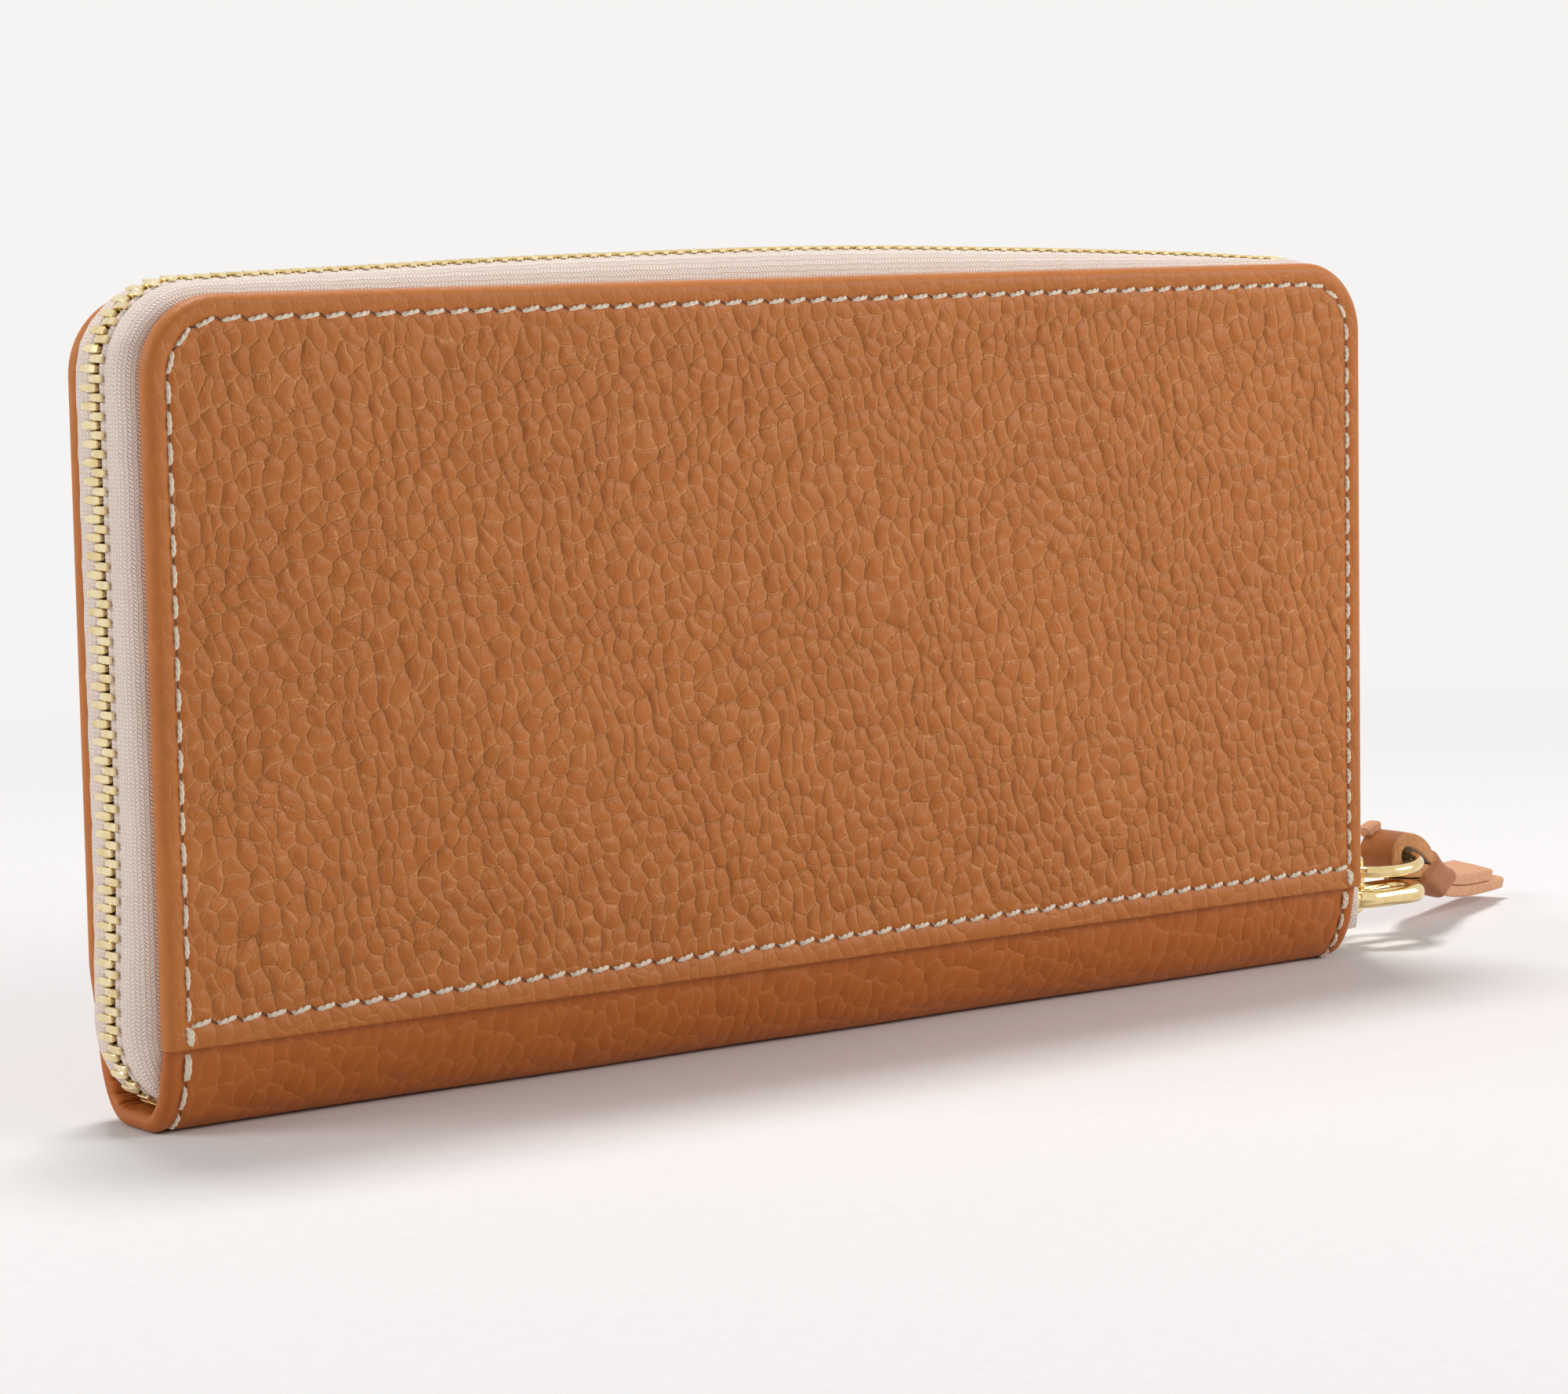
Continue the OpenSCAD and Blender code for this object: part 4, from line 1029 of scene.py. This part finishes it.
STRAP_T, STRAP_W, HOLE_R = 1.8, 7.0, 1.45
STRAP_L, UPPER_L, STRAP_FALL, FALL_L = 40.5, 34.7, 8.7, 11.4
COLLAR_U, COLLAR_L, COLLAR_T = 11.6, 11.0, 0.5
LOOP = np.array([118.74, 5.03, 12.3])  # the middle of the loop's hole
TWIST, RING_TILT = math.radians(10), math.radians(4)


def make_link():
    wire, width, length = 2.8, 8.8, 15.6
    near_x, height = 105.0, 7.4
    r = (width - wire) / 2
    straight = length - width
    a = np.linspace(PI / 2, 3 * PI / 2, 33)
    near = stack(r + r * np.cos(a), r * np.sin(a))
    far = stack(r + straight - r * np.cos(a), -r * np.sin(a))
    low = stack(r + straight * np.linspace(0, 1, 9)[1:-1], -r)
    line = np.concatenate([near, low, far, low[::-1] * [1, -1]])
    shape = Shape()
    shape.tube(stack(near_x + line[:, 0], line[:, 1], height), wire / 2, sides=28, closed=True)
    settle(shape.make("link_metal", GOLD), "gold", "pull_link", body="pull_link")


def make_ring():
    r, wire = 7.28, 1.7
    middle, to_loop = (112.008, 2.6), (0.585, 0.811)
    a = np.arange(120) / 120 * 2 * PI
    x, y = middle[0] + r * np.cos(a), middle[1] + r * np.sin(a)
    near = (LOOP[0] - x) * to_loop[0] + (LOOP[1] - y) * to_loop[1]
    shape = Shape()
    shape.tube(stack(x, y, LOOP[2] - near * math.tan(RING_TILT)), wire / 2, sides=24, closed=True)
    settle(shape.make("ring_metal", GOLD), "gold", "pull_ring", body="pull_ring")


make_link()
make_ring()


# The strap swings out sideways behind its loop, and then lies straight
PLAN_U = np.linspace(-6, 42, 961)
PLAN_YAW = np.radians(4 + 29 * smoothstep(PLAN_U, 0.5, 6.0) - 9 * smoothstep(PLAN_U, 8, 20))
PLAN = np.cumsum(stack(np.cos(PLAN_YAW), np.sin(PLAN_YAW)), axis=0) * (PLAN_U[1] - PLAN_U[0])
PLAN += LOOP[:2] - PLAN[np.searchsorted(PLAN_U, 0)]


def on_loop(u, v, w):
    """A point of the strap's frame: along the strap, across it, and up."""
    u, v, w = np.broadcast_arrays(np.asarray(u, float), np.asarray(v, float), np.asarray(w, float))
    twist = TWIST * smoothstep(u, 3.0, 16.0)
    rise = w - fall(np.maximum(u, 0))
    v, w = v * np.cos(twist) - rise * np.sin(twist), w - rise + rise * np.cos(twist) + v * np.sin(twist)
    yaw = np.interp(u, PLAN_U, PLAN_YAW)
    x = np.interp(u, PLAN_U, PLAN[:, 0]) - v * np.sin(yaw)
    y = np.interp(u, PLAN_U, PLAN[:, 1]) + v * np.cos(yaw)
    return stack(x, y, LOOP[2] + w)


def fall(u):
    """Height of the strap's middle over its loop."""
    u = np.asarray(u, float)
    return -STRAP_FALL * (1 - np.exp(-u / FALL_L)) + u / 5 * np.exp(1 - u / 5)


def fall_angle(u):
    """Slope of that height."""
    return np.arctan((fall(np.asarray(u, float) + 0.01) - fall(u)) / 0.01)


def apart(u, reach=3.8):
    """Distance of each layer from the strap's middle."""
    return STRAP_T / 2 + 0.05 + (HOLE_R - 0.05) * bell(np.asarray(u, float), reach)


def layer(u, up):
    """The line of the upper or lower layer."""
    a = fall_angle(u)
    return stack(u - up * apart(u) * np.sin(a), fall(u) + up * apart(u) * np.cos(a))


def ribbon(outer, inner, edge, line, width, thick, shift=0.0, calm=0.35):
    """A strip along a line in the strap's frame, as its grain side, its raw side and its cut sides."""
    normal, length = normals(line), lengths(line)
    corner = 0.35
    h, v = width / 2, thick / 2
    a = np.linspace(0, PI / 2, 5)
    level = np.linspace(corner - h, h - corner, 9)
    crown = 0.06 * (1 - (level / h) ** 2)

    def sweep(target, section, flip=False):
        across, off = section.T
        uw = line[:, None] + normal[:, None] * off[:, None]
        points = on_loop(uw[..., 0], across + shift, uw[..., 1])
        target.grid(points, stack(length[:, None], across, off), calm, flip=flip)

    sweep(outer, stack(level, v + crown), True)
    sweep(inner, stack(level, -v - crown * 0.3))
    sides = {}
    for s in (-1, 1):
        arris_hi = stack(s * (h - corner + corner * np.sin(a)), v - corner + corner * np.cos(a))
        arris_lo = stack(s * (h - corner + corner * np.cos(a)), -v + corner - corner * np.sin(a))
        sides[s] = np.concatenate([arris_hi, arris_lo])
        sweep(edge, sides[s], s > 0)
    across, off = np.concatenate([sides[1], sides[-1][::-1]]).T
    for row, step in ((0, 1), (-1, -1)):
        n, p = normal[row], line[row]
        points = on_loop(p[0] + n[0] * off, across + shift, p[1] + n[1] * off)
        edge.add(points, [list(range(len(off)))[::step]])


def make_strap():
    loop_side, tail_side, inner, loop_edge, tail_edge = (Shape() for _ in range(5))
    tail = tail_side, tail_side, tail_edge
    start = float(fall_angle(0.0))
    a = np.linspace(-PI / 2 + start, -3 * PI / 2 + start, 24)[1:-1]
    r = HOLE_R + STRAP_T / 2
    down, up = layer(np.linspace(COLLAR_U, 0.3, 30), -1), layer(np.linspace(0.3, COLLAR_U, 30), 1)
    line = np.concatenate([down, stack(r * np.cos(a), r * np.sin(a)), up])
    ribbon(loop_side, inner, loop_edge, line, STRAP_W, STRAP_T + 0.3, calm=1.0)
    ribbon(*tail, layer(np.linspace(STRAP_L, COLLAR_U, 40), -1), STRAP_W, STRAP_T)
    ribbon(*tail, layer(np.linspace(COLLAR_U, UPPER_L, 32), 1), STRAP_W, STRAP_T)

    # The end of the strip stands up behind the loop
    a = np.radians(np.linspace(140, 104, 10)) + start
    r = HOLE_R + STRAP_T * 1.5 - 0.4
    ribbon(*tail, stack(r * np.cos(a), r * np.sin(a)), 2.4, STRAP_T, shift=3.1)
    # the loop gets the darker copy of the strap leather, painted shade
    settle(loop_side.make("strap_loop", SHADED_LOOP_SKIN), "strap_leather", "pull_strap", body="pull_strap")
    pieces = [tail_side.make("strap_leather", STRAP), inner.make("strap_raw_side", RAW)]
    pieces += [loop_edge.make("strap_loop_edges", CUT, sharp=50), tail_edge.make("strap_cut_edges", PALE_CUT, sharp=50)]
    for piece in pieces:
        settle(piece, "strap_leather", body="pull_strap")


def make_collar():
    """A band of the same leather wound aslant round both layers."""
    corner = 0.9
    turn = np.linspace(0, PI / 2, 6)
    quarters = [(1, 1, turn), (-1, 1, turn + PI / 2), (-1, -1, turn + PI), (1, -1, turn + 3 * PI / 2)]
    cx, cy, cos, sin = np.concatenate([stack(sx, sy, np.cos(b), np.sin(b)) for sx, sy, b in quarters]).T
    along = np.array([-1, -0.96, -0.8, -0.4, 0, 0.4, 0.8, 0.96, 1]) * COLLAR_L / 2
    lift = COLLAR_T + np.array([-0.2, 0.05, 0.12, 0.2, 0.25, 0.2, 0.15, 0.1, -0.15])

    def at(off, shift):
        u = COLLAR_U + shift + (0.30 * STRAP_W / 2 * cx + 0.6 * 2.2 * cy)
        v = cx * (STRAP_W / 2 + 0.05 - corner) + cos * (corner + off)
        up = cy * (apart(u, 5.5) + STRAP_T / 2 + 0.1 - corner) + sin * (corner + off)
        slope = fall_angle(u)
        return on_loop(u - up * np.sin(slope), v, fall(u) + up * np.cos(slope))

    band, cut = Shape(), Shape()
    flat = stack(np.arange(len(cx)) * 0.9, along[:, None], 0.0)
    band.grid([at(off, shift) for off, shift in zip(lift, along)], flat, 0.8, loop_v=True, flip=True)
    for k in (0, -1):
        cut.grid([at(lift[k], along[k]), at(0.02, along[k])], loop_v=True, flip=k < 0)
    # the collar takes the same darker copy of the strap leather, painted shade
    collar = band.make("collar_leather", SHADED_LOOP_SKIN)
    rims = cut.make("collar_cut_edges", PALE_CUT, sharp=40)
    settle(collar, "strap_leather", "pull_collar", body="pull_strap")
    settle(rims, "strap_leather", body="pull_strap")


make_strap()
make_collar()


# Lining, pockets and gussets

LINING_IN, LINING_Z = 2.2, 8.0
LEAF_T, LEAF_CORNER, POCKET_Z = 0.35, 3.0, 14.0
BACKING_HALF, TIER_HALF, TIER_DIP = 89.0, 88.0, 0.5


def soft_panel(name, material, half_w, z0, z1, q, thick, corner, side, roll=0.0, dip=0.0):
    """A soft flat piece with rounded upper corners and a rolled top edge, inside one cover."""
    x = np.linspace(-half_w, half_w, 61)
    share = np.concatenate([np.linspace(0, 0.9, 12), [0.94, 0.97, 0.985, 1.0]])[:, None]
    inset = np.maximum(0, np.abs(x) - (half_w - corner))
    top = z1 - (corner - np.sqrt(np.maximum(0, corner**2 - inset**2)))
    top -= dip * (1 - (x / half_w) ** 2)
    z = z0 + (top - z0) * share
    wave = 0.05 * np.sin(x / 11 + z / 19) * np.sin(z / 9)
    inner = q - thick + 0.5 * np.minimum(wave, 0.04) - roll * bell(share - 0.985, 0.012)
    flat = stack(x, z, 0.0)
    faces = [stack(x, inner, z), stack(x, q, z)]
    shape = Shape()
    shape.grid(faces[0], flat, 0.3 * smoothstep(share, 0.9, 1.0) + 0 * z)
    shape.grid(faces[1], flat, flip=True)
    rims = [np.concatenate([f[:, 0], f[-1, 1:-1], f[::-1, -1], f[0, ::-1][1:-1]]) for f in faces]
    shape.grid(rims, loop_v=True)
    return shape.make(name, material, side=side, weld=True, sharp=45)


def seam_row(name, line, up, body, side):
    """A row of small plain stitches along a line."""
    pitch, gap, radius = 2.2, 0.3, 0.16
    length = lengths(line)
    t = np.linspace(0, 1, 6)[:, None]
    rise = np.asarray(up, float) * (0.16 * np.sin(PI * t) - 0.08)
    shape = Shape()
    for i in range(int(length[-1] / pitch)):
        ends = [i * pitch + gap, (i + 1) * pitch - gap]
        a, b = stack(*(np.interp(ends, length, row) for row in line.T))
        shape.tube(a + (b - a) * t + rise, radius, sides=5, up=up)
    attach(shape.make(name, THREAD, side=side), body)


for cover, side in COVERS.items():
    body = cover + "_cover"
    half_w, top = HALF_W - LINING_IN, TOP_Z - LINING_IN
    lining = soft_panel(cover + "_lining_cloth", LINEN, half_w, LINING_Z, top, FLAP, 0.4, CORNER_R - LINING_IN, side)
    settle(lining, "lining", cover + "_lining", body=body)
    leaf = (LEAF_T, LEAF_CORNER, side)
    backing = soft_panel(cover + "_pocket_backing", POCKET, BACKING_HALF, POCKET_Z, 90.0, LINING, *leaf, roll=0.10)
    settle(backing, "pocket_leather", cover + "_pocket_panel", body=body)
    for tier in (1, 2, 3):
        name = f"{cover}_card_tier_{tier}"
        q = LINING - LEAF_T * tier
        top = 80.0 - 12.0 * (tier - 1)
        edge = dict(roll=0.14, dip=TIER_DIP)
        piece = soft_panel(name + "_leather", POCKET, TIER_HALF, POCKET_Z, top, q, *leaf, **edge)
        settle(piece, "pocket_leather", name, body=body)
        xs = np.linspace(-85.5, 85.5, 60)
        row = stack(xs, q - 0.40, top - 2.0 - TIER_DIP * (1 - (xs / TIER_HALF) ** 2))
        seam_row(f"{cover}_tier_{tier}_stitches", row, (0, -1, 0), body, side)
    middle = stack(0.0, LINING - LEAF_T * 4 - 0.08, np.linspace(16, 54, 20))
    seam_row(cover + "_tier_middle_stitches", middle, (0, -1, 0), body, side)


def make_gusset(cover, end):
    """A folded cloth between the coin pocket and a cover, which opens as a fan."""
    side = COVERS[cover]
    half_t, low, high = 0.15, 12.0, 82.0
    corners = [(94, 6.475), (91, 6.475), (89, 5.525), (77, 3.95), (76.5, 3.6), (77, 3.25), (87.5, 1.725), (90, 1.725)]
    line = filled(corners, step=1.2)
    soften(line, 2)
    length = lengths(line)
    z = np.linspace(low, high, 29)[:, None]
    crumple = 0.10 * np.sin(z / 5.5 + length / 4) * bell(length - length[-1] / 2, 9)
    thick = normals(line) * half_t
    a, b = (stack(end * (p[:, 0] + crumple), p[:, 1], z) for p in (line + thick, line - thick))
    flat = stack(z, length, 0.0)
    shape = Shape()
    shape.grid(a, flat, flip=end < 0)
    shape.grid(b, flat, flip=end > 0)
    for pair in ((a[0], b[0]), (a[-1], b[-1]), (a[:, 0], b[:, 0]), (a[:, -1], b[:, -1])):
        shape.grid(pair)
    name = f"gusset_{cover}_{'left' if end < 0 else 'right'}"
    piece = shape.make(name + "_cloth", LINEN, side=side, weld=True, sharp=60)
    settle(piece, "lining", name)
    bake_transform(piece)


for cover in COVERS:
    for end in (-1, 1):
        make_gusset(cover, end)


def make_spine_lining():
    line, normal = fold_line(30)
    inner = (line - normal * 1.75)[line[:, 1] < 7.5]
    inner = np.concatenate([mirrored(inner)[:-1], inner])
    half_w = HALF_W - 4
    xs = np.linspace(-half_w, half_w, 40)[:, None]
    length = lengths(inner)
    shape = Shape()
    shape.grid(stack(xs, inner[:, 0], inner[:, 1]), stack(xs, length, 0.0))
    piece = shape.make("spine_lining_cloth", LINEN)
    settle(piece, "lining", "spine_lining", body="spine")


make_spine_lining()


# Coin pocket

COIN_K, COIN_Z, COIN_L = 0.8, 82.12, 148.0  # the coin zip's size against the outer zip's, its height and its length


def make_coin_tape(cover, side):
    out, wall = SLIDER_HALF_W + 0.35 + TAPE_HALF, 1.55 / COIN_K + TAPE_HALF
    corners = [(0, 2.05), (0, out - 0.8), (-0.24, out - 0.24), (-0.8, out), (-2.45, out), (-5.45, wall), (-11.05, wall)]
    line = filled(corners)
    thick = normals(line) * TAPE_HALF
    a = np.linspace(2.2, -2.2, 8)
    cord = stack(0.5 * np.sin(a), 1.6 - 0.5 * np.cos(a))
    section = np.concatenate([line + thick, (line - thick)[::-1], cord])
    w = lengths(section)
    xs = np.linspace(-COIN_L / 2, COIN_L / 2, 60)[:, None]
    shape = Shape()
    points = stack(xs, section[:, 1] * COIN_K, COIN_Z + section[:, 0] * COIN_K)
    shape.grid(points, stack(xs, w, 0.0), loop_v=True)
    shape.caps(0, len(xs), len(section))
    tape = shape.make(f"coin_tape_{cover}_cloth", TAPE, side=side, sharp=50)
    settle(tape, "tape", f"coin_zip_tape_{cover}", body="spine")


def make_coin_teeth(cover, side):
    pitch, loops = PITCH * COIN_K, tooth_loops(COIN_K)
    start = 66.0 + COIN_K * FIRST_IN
    shape = Shape()
    for i in range(math.floor((start + 70.0) / pitch)):
        add_tooth(shape, start - (i + (0.5 if side < 0 else 0)) * pitch, COIN_Z, PI / 2, side, loops)
    row = shape.make(f"coin_teeth_{cover}", TEETH, sharp=35)
    settle(row, "gold", f"coin_zip_teeth_{cover}", body="spine")


def make_coin_pocket():
    for cover, side in COVERS.items():
        wall = soft_panel(f"coin_{cover}_wall_leather", POCKET, 90.0, 1.6, 80.0, 1.5, 0.6, 0.6, side)
        settle(wall, "pocket_leather", f"coin_{cover}_wall", body="spine")
        row = stack(np.linspace(-86, 86, 60), 1.54, 76.6)
        seam_row(f"coin_{cover}_wall_stitches", row, (0, 1, 0), "spine", side)
    corners = [(-89.9, 80.0), (-89.9, 3.2), (-88.0, 1.7), (88.0, 1.7), (89.9, 3.2), (89.9, 80.0)]
    path = filled(corners, step=4)
    edge = Shape()
    edge.tube(stack(path[:, 0], 0.0, path[:, 1]), 0.82, sides=10, up=(0, 1, 0))
    settle(edge.make("coin_binding_cloth", LINEN), "lining", "coin_binding", body="spine")
    for cover, side in COVERS.items():
        make_coin_tape(cover, side)
        make_coin_teeth(cover, side)
    bevelled("coin_zip_stops", "coin_stops_metal", "spine", 0.10)
    bevelled("coin_slider_body", "coin_slider_metal", "coin_slider", 0.18)
    bevelled("coin_slider_bail", "coin_bail_metal", "coin_slider", 0.24)
    bevelled("coin_pull_tab", "coin_tab_metal", "coin_tab", 0.22)


make_coin_pocket()
